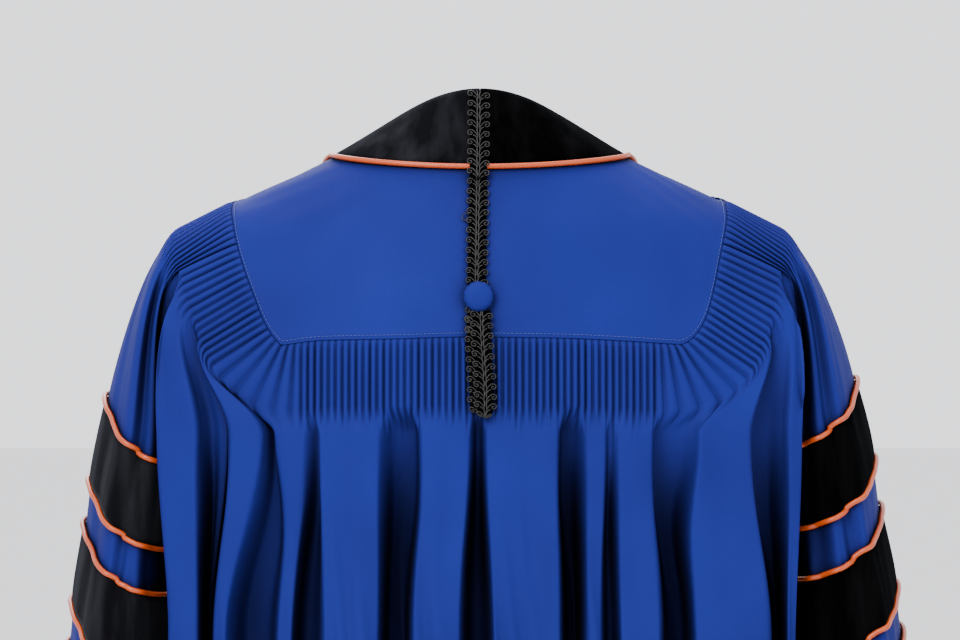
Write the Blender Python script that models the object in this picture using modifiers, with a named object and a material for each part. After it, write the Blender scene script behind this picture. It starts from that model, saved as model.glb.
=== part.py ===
"""Doctoral graduation gown, worn on a general figure, in metres.

The wearer faces -Y, +X is the wearer's left and +Z is up. The origin is the middle of the
neck opening, level with the shoulder line beside the neck. Lengths in tables are in
millimetres and are turned to metres where a mesh is made.
"""

import math

import bmesh
import bpy
from mathutils import Vector

MM = 0.001

# Walls and clearances, mm
CLOTH = 1.2
VELVET = 1.5
SEAM_GAP = 0.5
YOKE_EDGE_GAP = 1.0
BACK_TOP_GAP = 0.8
BACK_SIDE_GAP = 1.0
FRONT_TOP_GAP = 1.0
FRONT_SIDE_GAP = 1.2
SLEEVE_TOP_GAP = 0.8
ARMHOLE_GAP = 1.0
LAY_GAP = 0.4
PIPING_RADIUS = 2.0

# Flutes
FLUTE_HEIGHT = 2.2
FLUTE_LENGTH = 49.0
BACK_FLUTES = 90
LEFT_CORNER_FLUTE = 16
RIGHT_CORNER_FLUTE = 74
SLEEVE_FLUTES_BACK = 9
SLEEVE_FLUTES_FRONT = 11
FRONT_FLUTES = 14
FLUTES_A_COLUMN = 2.2
FRONT_FLUTES_A_COLUMN = 0.7

# Levels, mm
FOLD_TOP = -245.0
FRAME_LEVEL = -400.0
HEM = -1310.0
BETWEEN_ROWS = (0.35, 0.7)
BACK_LEVELS = (FOLD_TOP, -310.0, FRAME_LEVEL, -620.0, -940.0, HEM)

# Shoulder form: half width at each level, from the neck ring down
FORM_WIDTH = (
    # level, half width
    (0, 60), (-16, 86), (-31, 112), (-67, 189), (-81, 221), (-90, 234),
    (-106, 247), (-138, 266), (-175, 281), (-260, 300),
)
FORM_BACK = (
    # level, depth behind the neck's middle
    (0, 62), (-16, 68), (-31, 75), (-67, 90), (-106, 103), (-175, 114), (-260, 119),
)
FORM_FRONT = (
    # level, depth before the neck's middle
    (0, 62), (-31, 72), (-67, 84), (-95, 92), (-130, 102), (-175, 112), (-260, 121),
)
NECK_RISE = 17.0
NECK_RISE_REACH = 60.0

# Yoke seam seen from behind: side seams from the crest down, then the bottom seam
YOKE_LEFT = (
    # across, height
    (190.5, -66), (190.5, -73), (188, -85.5), (182.6, -106.5), (177.4, -122),
    (170, -141), (161.6, -161), (154.5, -172), (149, -178),
)
YOKE_RIGHT = (
    (-189, -64), (-188.5, -79), (-186, -92), (-181.6, -111), (-176, -136.5),
    (-170, -156.5), (-163.5, -168), (-157, -174.5), (-151, -177.5),
)
YOKE_BOTTOM = (
    (118, -174.3), (61, -173), (11, -171.6), (-57, -172.4), (-107, -174.6),
)
SLEEVE_JOIN_LEVEL = -101.0
FRONT_SEAM_ANGLE = -37.0
FRONT_CORNER_LEVEL = -86.0
FACING_EDGE_LEVEL = -44.0

# Back folds: flute they hang from, place across and depth share at FOLD_TOP and FRAME_LEVEL
BACK_FOLDS = (
    # flute, x_top, x_low, depth_top, depth_low
    (2.0, 247.5, 238.0, 0.0, 0.0),
    (5.0, 213.0, 211.0, 0.0, 0.0),
    (5.8, 209.0, 208.0, 0.9, 1.0),
    (6.8, 205.5, 206.5, 0.45, 1.0),
    (8.2, 199.0, 205.0, 0.45, 1.0),
    (9.3, 194.0, 203.5, 1.0, 1.0),
    (10.4, 188.0, 200.5, 0.0, 0.0),
    (13.0, 164.0, 189.0, 0.0, 0.0),
    (14.2, 158.0, 178.0, 0.6, 1.0),
    (15.6, 149.5, 156.0, 0.6, 1.0),
    (16.7, 145.5, 151.0, 0.35, 0.3),
    (19.4, 131.5, 140.0, 0.35, 0.3),
    (20.3, 127.5, 136.0, 0.8, 1.0),
    (21.0, 123.5, 122.5, 0.8, 1.0),
    (21.7, 120.0, 118.0, 0.0, 0.0),
    (26.4, 95.0, 96.0, 0.3, 0.05),
    (30.3, 75.0, 75.0, 0.0, 0.0),
    (31.3, 70.5, 71.0, 1.0, 1.0),
    (35.4, 49.0, 55.5, 1.0, 1.0),
    (36.3, 44.0, 51.0, 0.0, 0.0),
    (40.4, 22.0, 32.0, 0.25, 0.0),
    (43.3, 7.5, 14.5, 0.0, 0.0),
    (44.1, 4.5, 10.0, 1.0, 1.0),
    (45.0, 0.0, -5.0, 1.0, 1.0),
    (45.8, -3.0, -9.5, 0.0, 0.0),
    (51.8, -36.0, -37.0, 0.2, 0.1),
    (56.0, -58.5, -61.5, 0.0, 0.0),
    (56.9, -62.0, -65.5, 1.0, 1.0),
    (59.2, -74.5, -73.0, 1.0, 1.0),
    (60.0, -78.0, -77.0, 0.0, 0.0),
    (62.8, -94.0, -90.5, 0.0, 0.0),
    (63.5, -96.5, -94.0, 0.55, 0.55),
    (64.1, -98.8, -101.0, 0.55, 0.55),
    (64.8, -101.5, -104.5, 0.0, 0.0),
    (69.6, -129.0, -135.5, 0.0, 0.0),
    (70.6, -133.0, -139.5, 1.0, 1.0),
    (73.1, -146.5, -153.5, 1.0, 1.0),
    (74.0, -151.0, -157.5, 0.0, 0.0),
    (77.2, -184.0, -190.0, 0.2, 0.0),
    (80.0, -203.0, -220.0, 0.0, 0.0),
    (81.6, -210.0, -223.5, 0.8, 1.0),
    (84.2, -227.0, -228.5, 0.8, 1.0),
    (85.4, -233.5, -232.0, 0.0, 0.0),
    (88.0, -245.5, -239.5, 0.0, 0.0),
)
BACK_SHAPE = (
    # level, back depth, fold depth, fold edge spread, side seam x
    (FOLD_TOP, 120, 15, 1.000, 200),
    (-310, 122, 30, 1.000, 205),
    (FRAME_LEVEL, 127, 37, 1.000, 215),
    (-620, 152, 42, 1.060, 236),
    (-940, 190, 46, 1.230, 274),
    (HEM, 232, 50, 1.430, 330),
)
SIDE_SEAM_Y = -10.0
BACK_HALF_WIDTH = 278.0
BACK_ROUNDNESS = 2.6
BACK_EDGE = (
    # flutes in from the side seam, x past the seam or short of the first fold, share of fold depth
    (0.7, 12.0, 1.25), (1.4, 3.0, 0.80),
)
ARMHOLE_ROUND = 1.4
ARMHOLE_REACH = 3.0
ARMHOLE_SLOPE = 84.0
FRONT_ROUNDNESS = 2.5

# Front folds, from the side to the facing, on the left; the right front is its mirror image
FRONT_FOLDS = (
    # flute, share of the way from the side seam to the facing, depth share
    (1.0, 0.10, 0.0), (2.6, 0.25, 0.0), (3.4, 0.30, 1.0), (4.6, 0.38, 1.0),
    (5.4, 0.43, 0.0), (7.2, 0.57, 0.0), (8.0, 0.62, 0.9), (9.0, 0.69, 0.9),
    (9.8, 0.74, 0.0), (11.6, 0.87, 0.0), (12.3, 0.91, 0.7), (13.2, 0.96, 0.7),
    (14.0, 1.00, 0.0),
)
FRONT_SHAPE = (
    # level, front depth, fold depth
    (FOLD_TOP, 121, 10), (-310, 125, 18), (FRAME_LEVEL, 131, 24),
    (-620, 146, 28), (-940, 170, 32), (HEM, 200, 36),
)
FACING_X = 106.0
FRONT_EDGE_X = 4.6
NECK_FRONT_LEVEL = -95.0
FACING_COLUMNS_SEAM = 2
FACING_COLUMNS_NECK = 5
FACING_STEPS = (0.18, 0.42, 0.7)

# Sleeve rings: height at the outer side, outer x and inner x, half depth and middle in Y
LEFT_SLEEVE = (
    # height, outer, inner, half depth, middle y
    (-220, 294, 222, 95, -40), (-280, 306, 227, 103, -44), (-319, 311, 231, 108, -47),
    (-375, 320, 236, 116, -50), (-415, 324, 240, 122, -52), (-475, 331, 246, 138, -56),
    (-540, 339, 254, 158, -62), (-605, 347, 262, 178, -68),
)
RIGHT_SLEEVE = (
    (-207, 296, 222, 95, -40), (-264, 310, 227, 103, -44), (-307, 316, 231, 108, -47),
    (-364, 328, 236, 116, -50), (-404, 333, 240, 122, -52), (-464, 338, 246, 138, -56),
    (-535, 344, 254, 158, -62), (-605, 350, 262, 178, -68),
)
BAR_RINGS = ((0, 1), (2, 3), (4, 5))
SLEEVE_INNER_DROP = 54.0
SLEEVE_DROP_CURVE = 2.5
BACK_JOIN_TURN = 112.0
FRONT_JOIN_TURN = -72.0
SLEEVE_FOLDS = {
    # turn round the sleeve in degrees, half width in degrees, height at the first and last ring
    "left": ((78, 24, 5, 9), (-60, 26, 6, 14), (-130, 22, 5, 12), (150, 22, 0, 8)),
    "right": ((52, 15, 7, 8), (98, 18, 3, 9), (-60, 26, 6, 14), (-130, 22, 5, 12)),
}

# Neck band, braid and button
BAND_EDGE_CREST = -31.0
BAND_EDGE_BACK = -43.0
# Neck edge in front, from the yoke seam to the zip
NECK_RISE_CURVE = 2.6
NECK_FRONT_END_Y = -90.0
NECK_FRONT_LEAD = (6, -60, -60)
NECK_FRONT_ARRIVE = (-70, -20, -50)
FACING_LEAD = (0, -0.45, -0.9)

# Sleeve head: crest of the flutes' ends, and how the cloth leaves and reaches a curve's ends
SLEEVE_CREST = (233, 0, -89)
JOIN_RELEASE = (229.0, -121.0)
HEAD_EDGE_IN = 0.25
HEAD_LEAN = (0.45, 55, 0.9)
UNDERARM_FALL = -0.2
SLEEVE_LEAD = 0.7
SLEEVE_ARRIVE = 0.8
SLEEVE_BETWEEN = (0.3, 0.65)

BRAID_X = 1.0
BRAID_CLEARANCE = 0.7
BRAID_OVER_PIPING = 5.6
BRAID_OVER_FLUTES = 3.6
BRAID_LEVELS = (-30, -49, -54, -160, -169)
LAYER_GAP = 0.4
BRAID_WIDTH = 16.5
BRAID_THICKNESS = 1.8
BRAID_TOP = 15.5
BRAID_END = -228.0
LOOP_WIDTH = 21.0
BUTTON_HEIGHT = -141.5
BUTTON_RADIUS = 11.6
BUTTON_DEPTH = 8.0

# Front zip
ZIP_TAPE_WIDTH = 24.0
ZIP_CHAIN_WIDTH = 5.6
ZIP_TOP = -108.0
ZIP_END = -1120.0
SLIDER_LEVEL = -128.0
ZIP_SETBACK = 3.0
ZIP_CHAIN_DEPTH = 4.2
ZIP_TAPE_DEPTH = 0.9
ZIP_UPPER_LEVELS = (ZIP_TOP, -150, -190, -225)

# Slider and pull, sizes as width, depth and height, places from the pull's hinge
SLIDER_SIZE = (7.6, 2.6, 12)
SLIDER_BEHIND = 2.7
BRIDGE_SIZE = (2.0, 1.2, 10.4)
BRIDGE_AHEAD = 2.0
POST_SIZE = (2.0, 4.4, 1.3)
POST_AHEAD = 0.3
POST_HEIGHTS = (-4.5, 4.5)
PULL_SIZE = (6.4, 1.4, 29.4)
PULL_DROP = 14
PULL_HOLE_SIZE = (3.4, 4.0, 6.0)
PULL_HOLE_DROP = 3.8
HINGE_AHEAD = 4.6
SLIDER_REACH = (8, -34)
BOX_EDGE = 0.4

COLOURS = {
    # red, green, blue, roughness, metallic
    "blue cloth": (0.018, 0.055, 0.35, 0.75, 0.0),
    "velvet": (0.008, 0.008, 0.009, 0.9, 0.0),
    "piping": (0.87, 0.19, 0.03, 0.4, 0.0),
    "braid": (0.012, 0.012, 0.012, 0.6, 0.0),
    "zip metal": (0.5, 0.5, 0.52, 0.3, 1.0),
    "zip tape": (0.01, 0.02, 0.1, 0.8, 0.0),
}


def clear_scene():
    for thing in list(bpy.data.objects):
        bpy.data.objects.remove(thing, do_unlink=True)


def material(name):
    found = bpy.data.materials.get(name)
    if found:
        return found
    made = bpy.data.materials.new(name)
    made.use_nodes = True
    red, green, blue, roughness, metallic = COLOURS[name]
    shader = made.node_tree.nodes["Principled BSDF"]
    shader.inputs["Base Color"].default_value = (red, green, blue, 1)
    shader.inputs["Roughness"].default_value = roughness
    shader.inputs["Metallic"].default_value = metallic
    return made


# Small maths

def read(table, level, column=1):
    """A table's column at a level, eased between rows so that no row overshoots."""
    rows = sorted(table)
    if level <= rows[0][0]:
        return rows[0][column]
    if level >= rows[-1][0]:
        return rows[-1][column]
    slopes = [
        (b[column] - a[column]) / (b[0] - a[0]) for a, b in zip(rows, rows[1:])
    ]

    def tangent(i):
        if i == 0:
            return slopes[0]
        if i == len(rows) - 1:
            return slopes[-1]
        before, after = slopes[i - 1], slopes[i]
        if before * after <= 0:
            return 0.0
        return 2 * before * after / (before + after)

    for i, (low, high) in enumerate(zip(rows, rows[1:])):
        if level <= high[0]:
            span = high[0] - low[0]
            t = (level - low[0]) / span
            return (
                (2 * t**3 - 3 * t**2 + 1) * low[column]
                + (t**3 - 2 * t**2 + t) * span * tangent(i)
                + (3 * t**2 - 2 * t**3) * high[column]
                + (t**3 - t**2) * span * tangent(i + 1)
            )


def ease(t):
    t = min(1.0, max(0.0, t))
    return t * t * (3 - 2 * t)


def mix(a, b, t):
    return a + (b - a) * t


def bow(start, lead, end, arrive, t):
    """Hermite curve from start, leaving along lead, to end, arriving along arrive."""
    return (
        start * (2 * t**3 - 3 * t**2 + 1)
        + lead * (t**3 - 2 * t**2 + t)
        + end * (3 * t**2 - 2 * t**3)
        + arrive * (t**3 - t**2)
    )


def along(points, count):
    """Points evenly spaced by length along a line of points."""
    lengths = [0.0]
    for a, b in zip(points, points[1:]):
        lengths.append(lengths[-1] + (b - a).length)
    spaced = []
    i = 0
    for k in range(count + 1):
        want = lengths[-1] * k / count
        while i < len(points) - 2 and lengths[i + 1] < want:
            i += 1
        span = lengths[i + 1] - lengths[i]
        spaced.append(points[i].lerp(points[i + 1], (want - lengths[i]) / span))
    return spaced


# Shoulder form: turn is in degrees, 0 at the wearer's left, 90 at the centre back

def form(turn, level, out=0.0):
    """A point of the shoulder form, moved out from it by out."""
    angle = math.radians(turn)
    depths = FORM_BACK if math.sin(angle) > 0 else FORM_FRONT
    rise = NECK_RISE * abs(math.sin(angle)) ** NECK_RISE_CURVE
    if math.sin(angle) < 0:
        rise = -rise
    reach = max(0.0, 1 + level / NECK_RISE_REACH)
    point = Vector((
        read(FORM_WIDTH, level) * math.cos(angle),
        read(depths, level) * math.sin(angle),
        level + rise * reach * reach,
    ))
    if not out:
        return point
    step = 0.5
    across = form(turn + step, level) - form(turn - step, level)
    down = form(turn, level - step) - form(turn, min(0.0, level + step))
    return point + down.cross(across).normalized() * out


def back_point(x, height):
    """The form's point behind the wearer at a place seen in back view."""
    width = read(FORM_WIDTH, height)
    share = max(0.0, 1 - (x / width) ** 2)
    return Vector((x, read(FORM_BACK, height) * math.sqrt(share), height))


def front_point(x, height):
    width = read(FORM_WIDTH, height)
    share = max(0.0, 1 - (x / width) ** 2)
    return Vector((x, -read(FORM_FRONT, height) * math.sqrt(share), height))


# Yoke seam

def yoke_seam():
    """The side and bottom seam in back view, from the left crest to the right crest."""
    flat = list(YOKE_LEFT) + list(YOKE_BOTTOM) + list(reversed(YOKE_RIGHT))
    return [back_point(x, z) for x, z in flat]


def seam_level(turn):
    """Level of the yoke's outer edge at a turn of the form."""
    if turn < 0 or turn > 180:
        past = -turn if turn < 0 else turn - 180
        crest = YOKE_LEFT[0][1] if turn < 0 else YOKE_RIGHT[0][1]
        return mix(crest, FRONT_CORNER_LEVEL, min(1.0, past / -FRONT_SEAM_ANGLE))
    edge = [(math.degrees(math.atan2(
        p.y / read(FORM_BACK, p.z), p.x / read(FORM_WIDTH, p.z))), p.z) for p in yoke_seam()]
    edge[0] = (0.0, edge[0][1])
    edge[-1] = (180.0, edge[-1][1])
    for (a, low), (b, high) in zip(edge, edge[1:]):
        if turn <= b:
            return mix(low, high, (turn - a) / (b - a))
    return edge[-1][1]


def join_points(side):
    """Where a sleeve meets the yoke's side seam behind: place and turn."""
    table = YOKE_LEFT if side > 0 else YOKE_RIGHT
    for (xa, za), (xb, zb) in zip(table, table[1:]):
        if zb <= SLEEVE_JOIN_LEVEL:
            t = (SLEEVE_JOIN_LEVEL - za) / (zb - za)
            point = back_point(mix(xa, xb, t), SLEEVE_JOIN_LEVEL)
            turn = math.degrees(math.acos(point.x / read(FORM_WIDTH, point.z)))
            return point, turn


def release_of_join(side):
    """Where the flute between sleeve and back panel ends."""
    return back_point(side * JOIN_RELEASE[0], JOIN_RELEASE[1])


# Back panel

def back_seam_point(flute):
    """Place on the yoke seam of a flute of the back panel."""
    left = [join_points(1)[0]] + [
        back_point(x, z) for x, z in YOKE_LEFT if z < SLEEVE_JOIN_LEVEL]
    right = [back_point(x, z) for x, z in reversed(YOKE_RIGHT) if z < SLEEVE_JOIN_LEVEL]
    right.append(join_points(-1)[0])
    bottom = [left[-1]] + [back_point(x, z) for x, z in YOKE_BOTTOM] + [right[0]]
    if flute < LEFT_CORNER_FLUTE:
        line, share = left, flute / LEFT_CORNER_FLUTE
    elif flute < RIGHT_CORNER_FLUTE:
        span = RIGHT_CORNER_FLUTE - LEFT_CORNER_FLUTE
        line, share = bottom, (flute - LEFT_CORNER_FLUTE) / span
    else:
        line = right
        share = (flute - RIGHT_CORNER_FLUTE) / (BACK_FLUTES - RIGHT_CORNER_FLUTE)
    fine = along(line, 64)
    place = min(63.999, share * 64)
    i = int(place)
    return fine[i].lerp(fine[i + 1], place - i)


def back_flute_slope(flute):
    """Degrees below level at which a flute runs, and the side that it runs to."""
    if flute < BACK_FLUTES / 2:
        return 31 + 59 * ease((flute - 12.5) / 6.5), 1
    return 33 + 57 * ease((BACK_FLUTES - flute - 13.0) / 7.0), -1


def back_release(flute):
    """Where a flute ends and its cloth falls into the folds."""
    if flute <= 0:
        return release_of_join(1)
    if flute >= BACK_FLUTES:
        return release_of_join(-1)
    start = back_seam_point(flute)
    slope, side = back_flute_slope(flute)
    slope = math.radians(slope)
    x = start.x + side * math.cos(slope) * FLUTE_LENGTH
    z = start.z - math.sin(slope) * FLUTE_LENGTH
    return back_point(x, z)


def flute_height(flute):
    """Height of the rib above its valleys: whole numbers are valleys."""
    return FLUTE_HEIGHT * abs(math.sin(math.pi * flute))


def back_fold_point(flute, level):
    """Place of the back panel's cloth at a level under the flutes."""
    depth = read(BACK_SHAPE, level, 1)
    fold = read(BACK_SHAPE, level, 2)
    spread = read(BACK_SHAPE, level, 3)
    seam_x = read(BACK_SHAPE, level, 4)
    low = ease((FOLD_TOP - level) / (FOLD_TOP - FRAME_LEVEL))
    keys = [(f, mix(xt, xl, low) * spread, mix(dt, dl, low))
            for f, xt, xl, dt, dl in BACK_FOLDS]

    def crest_y(x):
        off = abs(x / (BACK_HALF_WIDTH * spread)) ** BACK_ROUNDNESS
        return depth * (1 - off) ** (1 / BACK_ROUNDNESS)

    first, last = keys[0][1], keys[-1][1]
    (edge, past, edge_in), (next_edge, short, next_in) = BACK_EDGE
    places = [(0.0, seam_x, SIDE_SEAM_Y)]
    places.append((edge, seam_x + past, crest_y(first) - edge_in * fold))
    places.append((next_edge, first - short, crest_y(first) - next_in * fold))
    places += [(f, x, crest_y(x) - d * fold) for f, x, d in keys]
    places.append((BACK_FLUTES - next_edge, last + short, crest_y(last) - next_in * fold))
    places.append((BACK_FLUTES - edge, -seam_x - past, crest_y(last) - edge_in * fold))
    places.append((float(BACK_FLUTES), -seam_x, SIDE_SEAM_Y))
    for (fa, xa, ya), (fb, xb, yb) in zip(places, places[1:]):
        if flute <= fb:
            t = (flute - fa) / (fb - fa)
            return Vector((mix(xa, xb, t), mix(ya, yb, t), level))


def falling(flute, forward):
    """Direction in which cloth falls: beside the armhole it turns to close the armhole below."""
    turn = ARMHOLE_ROUND * (1 - ease(flute / ARMHOLE_REACH))
    return Vector((0, forward * turn, -1)).normalized()


def back_between(flute, t):
    """Place between a flute's end and the top of the folds."""
    start = back_release(flute)
    end = back_fold_point(flute, FOLD_TOP)
    slope, side = back_flute_slope(flute)
    inside = ease(min(flute, BACK_FLUTES - flute) / ARMHOLE_REACH)
    slope = math.radians(mix(ARMHOLE_SLOPE, slope, inside))
    reach = (end - start).length
    lead = Vector((side * math.cos(slope), 0.1, -math.sin(slope))) * reach
    arrive = falling(min(flute, BACK_FLUTES - flute), -1) * reach
    return bow(start, lead * 0.8, end, arrive, t)


def fold_columns():
    """Flute numbers of the columns under the flutes: each fold's corner and points between."""
    edges = [row[0] for row in BACK_EDGE]
    marks = [0.0] + edges + [row[0] for row in BACK_FOLDS]
    marks += [BACK_FLUTES - edge for edge in reversed(edges)] + [float(BACK_FLUTES)]
    columns = [marks[0]]
    for a, b in zip(marks, marks[1:]):
        parts = max(1, round((b - a) / FLUTES_A_COLUMN))
        columns += [mix(a, b, k / parts) for k in range(1, parts + 1)]
    return columns


def build_back_panel():
    top, release = [], []
    for k in range(2 * BACK_FLUTES + 1):
        flute = k / 2
        start, end = back_seam_point(flute), back_release(flute)
        raised = outward(start) * flute_height(flute)
        top.append(start + raised)
        release.append(end + raised)
    rows = [top, release]
    columns = fold_columns()
    for t in BETWEEN_ROWS:
        rows.append([back_between(f, t) for f in columns])
    for level in BACK_LEVELS:
        rows.append([back_fold_point(f, level) for f in columns])
    trim_row(rows, 0, BACK_TOP_GAP)
    trim_sides(rows, BACK_SIDE_GAP)
    halves = [k / 2 for k in range(2 * BACK_FLUTES + 1)]
    marks = [halves, halves] + [columns] * (len(rows) - 2)
    return sheet("back_panel", rows, "blue cloth", CLOTH, marks=marks)


def outward(point):
    """Level direction away from the form's middle line."""
    return Vector((point.x * 0.25, point.y, 18)).normalized()


# Fitting pieces apart

def trim_row(rows, index, gap=SEAM_GAP):
    """Draws an edge row back from its seam."""
    step = 1 if index == 0 else -1
    inner = rows[index + step]
    edge = rows[index]
    for k, point in enumerate(edge):
        near = inner[round(k * (len(inner) - 1) / (len(edge) - 1))]
        edge[k] = point + (near - point).normalized() * gap


def trim_sides(rows, gap=SEAM_GAP):
    for row in rows:
        row[0] = row[0] + (row[1] - row[0]).normalized() * gap
        row[-1] = row[-1] + (row[-2] - row[-1]).normalized() * gap


# Meshes

def stitch(mesh, first, second, closed, marks=None):
    """Faces between two rows of vertices; marks are the columns' places in unlike rows."""
    if len(first) == len(second):
        count = len(first)
        for k in range(count if closed else count - 1):
            after = (k + 1) % count
            mesh.faces.new((first[k], first[after], second[after]))
            mesh.faces.new((first[k], second[after], second[k]))
        return
    a, b = list(first), list(second)
    a_marks, b_marks = (list(line) for line in marks)
    if closed:
        a.append(a[0])
        b.append(b[0])
        end = max(a_marks[-1], b_marks[-1]) + 1
        a_marks.append(end)
        b_marks.append(end)
    i = j = 0
    while i < len(a) - 1 or j < len(b) - 1:
        next_a = a_marks[i + 1] if i < len(a) - 1 else math.inf
        next_b = b_marks[j + 1] if j < len(b) - 1 else math.inf
        if next_a < next_b:
            mesh.faces.new((a[i], a[i + 1], b[j]))
            i += 1
        else:
            mesh.faces.new((a[i], b[j + 1], b[j]))
            j += 1


def finish_object(name, mesh, colour, parent=None):
    data = bpy.data.meshes.new(name)
    mesh.to_mesh(data)
    mesh.free()
    data.materials.append(material(colour))
    made = bpy.data.objects.new(name, data)
    COLLECTION.objects.link(made)
    made.parent = parent
    return made


def sheet(name, rows, colour, thickness, closed=False, middle=None, extra=None, marks=None):
    """A cloth wall from rows of points in mm, its thickness inside them.

    Where the rows are unlike, marks gives the places of each row's columns.
    """
    mesh = bmesh.new()
    vertex_rows = [[mesh.verts.new(p * MM) for p in row] for row in rows]
    for j, (first, second) in enumerate(zip(vertex_rows, vertex_rows[1:])):
        stitch(mesh, first, second, closed, marks[j:j + 2] if marks else None)
    if extra:
        extra_rows, tail = extra
        above = [[mesh.verts.new(p * MM) for p in row] for row in extra_rows]
        above.append([vertex_rows[0][k] for k in tail])
        for first, second in zip(above, above[1:]):
            stitch(mesh, first, second, False)
    turn_out(mesh, middle)
    made = finish_object(name, mesh, colour)
    wall = made.modifiers.new("Wall", "SOLIDIFY")
    wall.thickness = thickness * MM
    wall.offset = -1
    wall.use_even_offset = False
    return made


def turn_out(mesh, middle):
    """Turns all faces away from the middle line of the hollow that the cloth goes round."""
    mesh.normal_update()
    total = 0.0
    for face in mesh.faces:
        centre = face.calc_center_median()
        inner = middle(centre) if middle else Vector((0, 0, centre.z - 0.05))
        total += face.normal.dot(centre - inner) * face.calc_area()
    if total < 0:
        bmesh.ops.reverse_faces(mesh, faces=mesh.faces)


def tube(name, points, radius, colour, cyclic=False):
    """Round cord through points in mm."""
    curve = bpy.data.curves.new(name, "CURVE")
    curve.dimensions = "3D"
    curve.bevel_depth = radius * MM
    curve.bevel_resolution = 0
    curve.use_fill_caps = True
    spline = curve.splines.new("POLY")
    spline.points.add(len(points) - 1)
    for place, point in zip(spline.points, points):
        place.co = (*(point * MM), 1)
    spline.use_cyclic_u = cyclic
    curve.materials.append(material(colour))
    made = bpy.data.objects.new(name, curve)
    COLLECTION.objects.link(made)
    return made


def grid_normals(rows, closed, middle=None):
    """Outward unit normals of a grid of equal rows."""
    normals = []
    last = len(rows) - 1
    for j, row in enumerate(rows):
        up, down = rows[max(0, j - 1)], rows[min(last, j + 1)]
        line = []
        for k in range(len(row)):
            if closed:
                before, after = row[k - 1], row[(k + 1) % len(row)]
            else:
                before, after = row[max(0, k - 1)], row[min(len(row) - 1, k + 1)]
            normal = (after - before).cross(down[k] - up[k]).normalized()
            centre = middle(row[k] * MM) / MM if middle else Vector((0, 0, row[k].z - 50))
            line.append(normal if normal.dot(row[k] - centre) > 0 else -normal)
        normals.append(line)
    return normals


def moved_out(rows, normals, distance):
    return [[p + n * distance for p, n in zip(row, line)]
            for row, line in zip(rows, normals)]


# Yoke and neck band

def yoke_turns():
    """Turns of the yoke's columns, from the left front edge to the right one."""
    start, end = FRONT_SEAM_ANGLE, 180 - FRONT_SEAM_ANGLE
    front, back = 6, 16
    turns = [mix(start, 0, k / front) for k in range(front)]
    turns += [mix(0, 180, k / (2 * back)) for k in range(2 * back)]
    return turns + [mix(180, end, k / front) for k in range(front + 1)]


def yoke_grid():
    """The yoke's outer face: rows under the neck band first, then down to the seam."""
    turns = yoke_turns()
    rows = [[form(turn, band_edge(turn) * share) for turn in turns]
            for share in (0.0, 0.33, 0.66, 1.0)]
    for share in (0.33, 0.66, 1.0):
        rows.append([form(turn, mix(band_edge(turn), seam_level(turn), share))
                     for turn in turns])
    return rows


def build_yoke():
    rows = yoke_grid()
    trim_row(rows, len(rows) - 1, YOKE_EDGE_GAP)
    trim_sides(rows)
    return sheet("yoke", rows, "blue cloth", CLOTH)


def band_edge(turn):
    """Level of the neck band's outer edge."""
    sine = math.sin(math.radians(turn))
    if sine >= 0:
        return mix(BAND_EDGE_CREST, BAND_EDGE_BACK, sine**1.5)
    past = sine / math.sin(math.radians(FRONT_SEAM_ANGLE))
    return mix(BAND_EDGE_CREST, FACING_EDGE_LEVEL, past)


def build_neck_bands():
    grid = yoke_grid()
    normals = grid_normals(grid, False)
    lifted = moved_out(grid, normals, LAY_GAP + VELVET)[:4]
    half = len(grid[0]) // 2
    for name, part in (("neck_band_left", slice(0, half + 1)),
                       ("neck_band_right", slice(half, None))):
        rows = [list(row[part]) for row in lifted]
        trim_sides(rows)
        sheet(name, rows, "velvet", VELVET)


def build_neck_piping():
    grid = yoke_grid()
    normals = grid_normals(grid, False)
    out = 2 * LAY_GAP + PIPING_RADIUS
    points = []
    for edge, below, normal in zip(grid[3], grid[4], normals[3]):
        beside = (below - edge).normalized() * (PIPING_RADIUS + LAY_GAP)
        points.append(edge + beside + normal * out)
    return tube("piping_neck", points, PIPING_RADIUS, "piping")


# Front panels, made for the wearer's left and mirrored for the right

def front_seam_point(flute):
    """Place on the front yoke seam: flute 0 at the armhole, the last beside the facing."""
    share = flute / FRONT_FLUTES
    level = mix(FRONT_CORNER_LEVEL, FACING_EDGE_LEVEL, share)
    return form(FRONT_SEAM_ANGLE, level)


def front_flute_slope(flute):
    """Degrees below level at which a front flute runs."""
    return mix(68, 88, ease(flute / FRONT_FLUTES * 1.6))


def front_release(flute):
    start = front_seam_point(flute)
    slope = math.radians(front_flute_slope(flute))
    x = start.x + math.cos(slope) * FLUTE_LENGTH
    z = start.z - math.sin(slope) * FLUTE_LENGTH
    return front_point(x, z)


def neck_front_point(share):
    """The neck's front edge, from the yoke seam down to the zip."""
    start = form(FRONT_SEAM_ANGLE, 0)
    end = Vector((FRONT_EDGE_X, NECK_FRONT_END_Y, NECK_FRONT_LEVEL))
    return bow(start, Vector(NECK_FRONT_LEAD), end, Vector(NECK_FRONT_ARRIVE), share)


def front_fold_point(share, level, depth_share):
    depth = read(FRONT_SHAPE, level, 1)
    fold = read(FRONT_SHAPE, level, 2)
    seam_x = read(BACK_SHAPE, level, 4)
    x = mix(seam_x, FACING_X, share)
    across = min(1.0, x / seam_x)
    y = -depth * (1 - across**FRONT_ROUNDNESS) ** (1 / FRONT_ROUNDNESS)
    y += SIDE_SEAM_Y * across**4
    return Vector((x, min(SIDE_SEAM_Y, y) + depth_share * fold, level))


def front_cloth(flute, level):
    """Place of the front panel's pleated cloth under the flutes."""
    rows = ((0.0, 0.0, 0.0),) + FRONT_FOLDS
    for (fa, sa, da), (fb, sb, db) in zip(rows, rows[1:]):
        if flute <= fb:
            t = (flute - fa) / (fb - fa)
            return front_fold_point(mix(sa, sb, t), level, mix(da, db, t))


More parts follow.
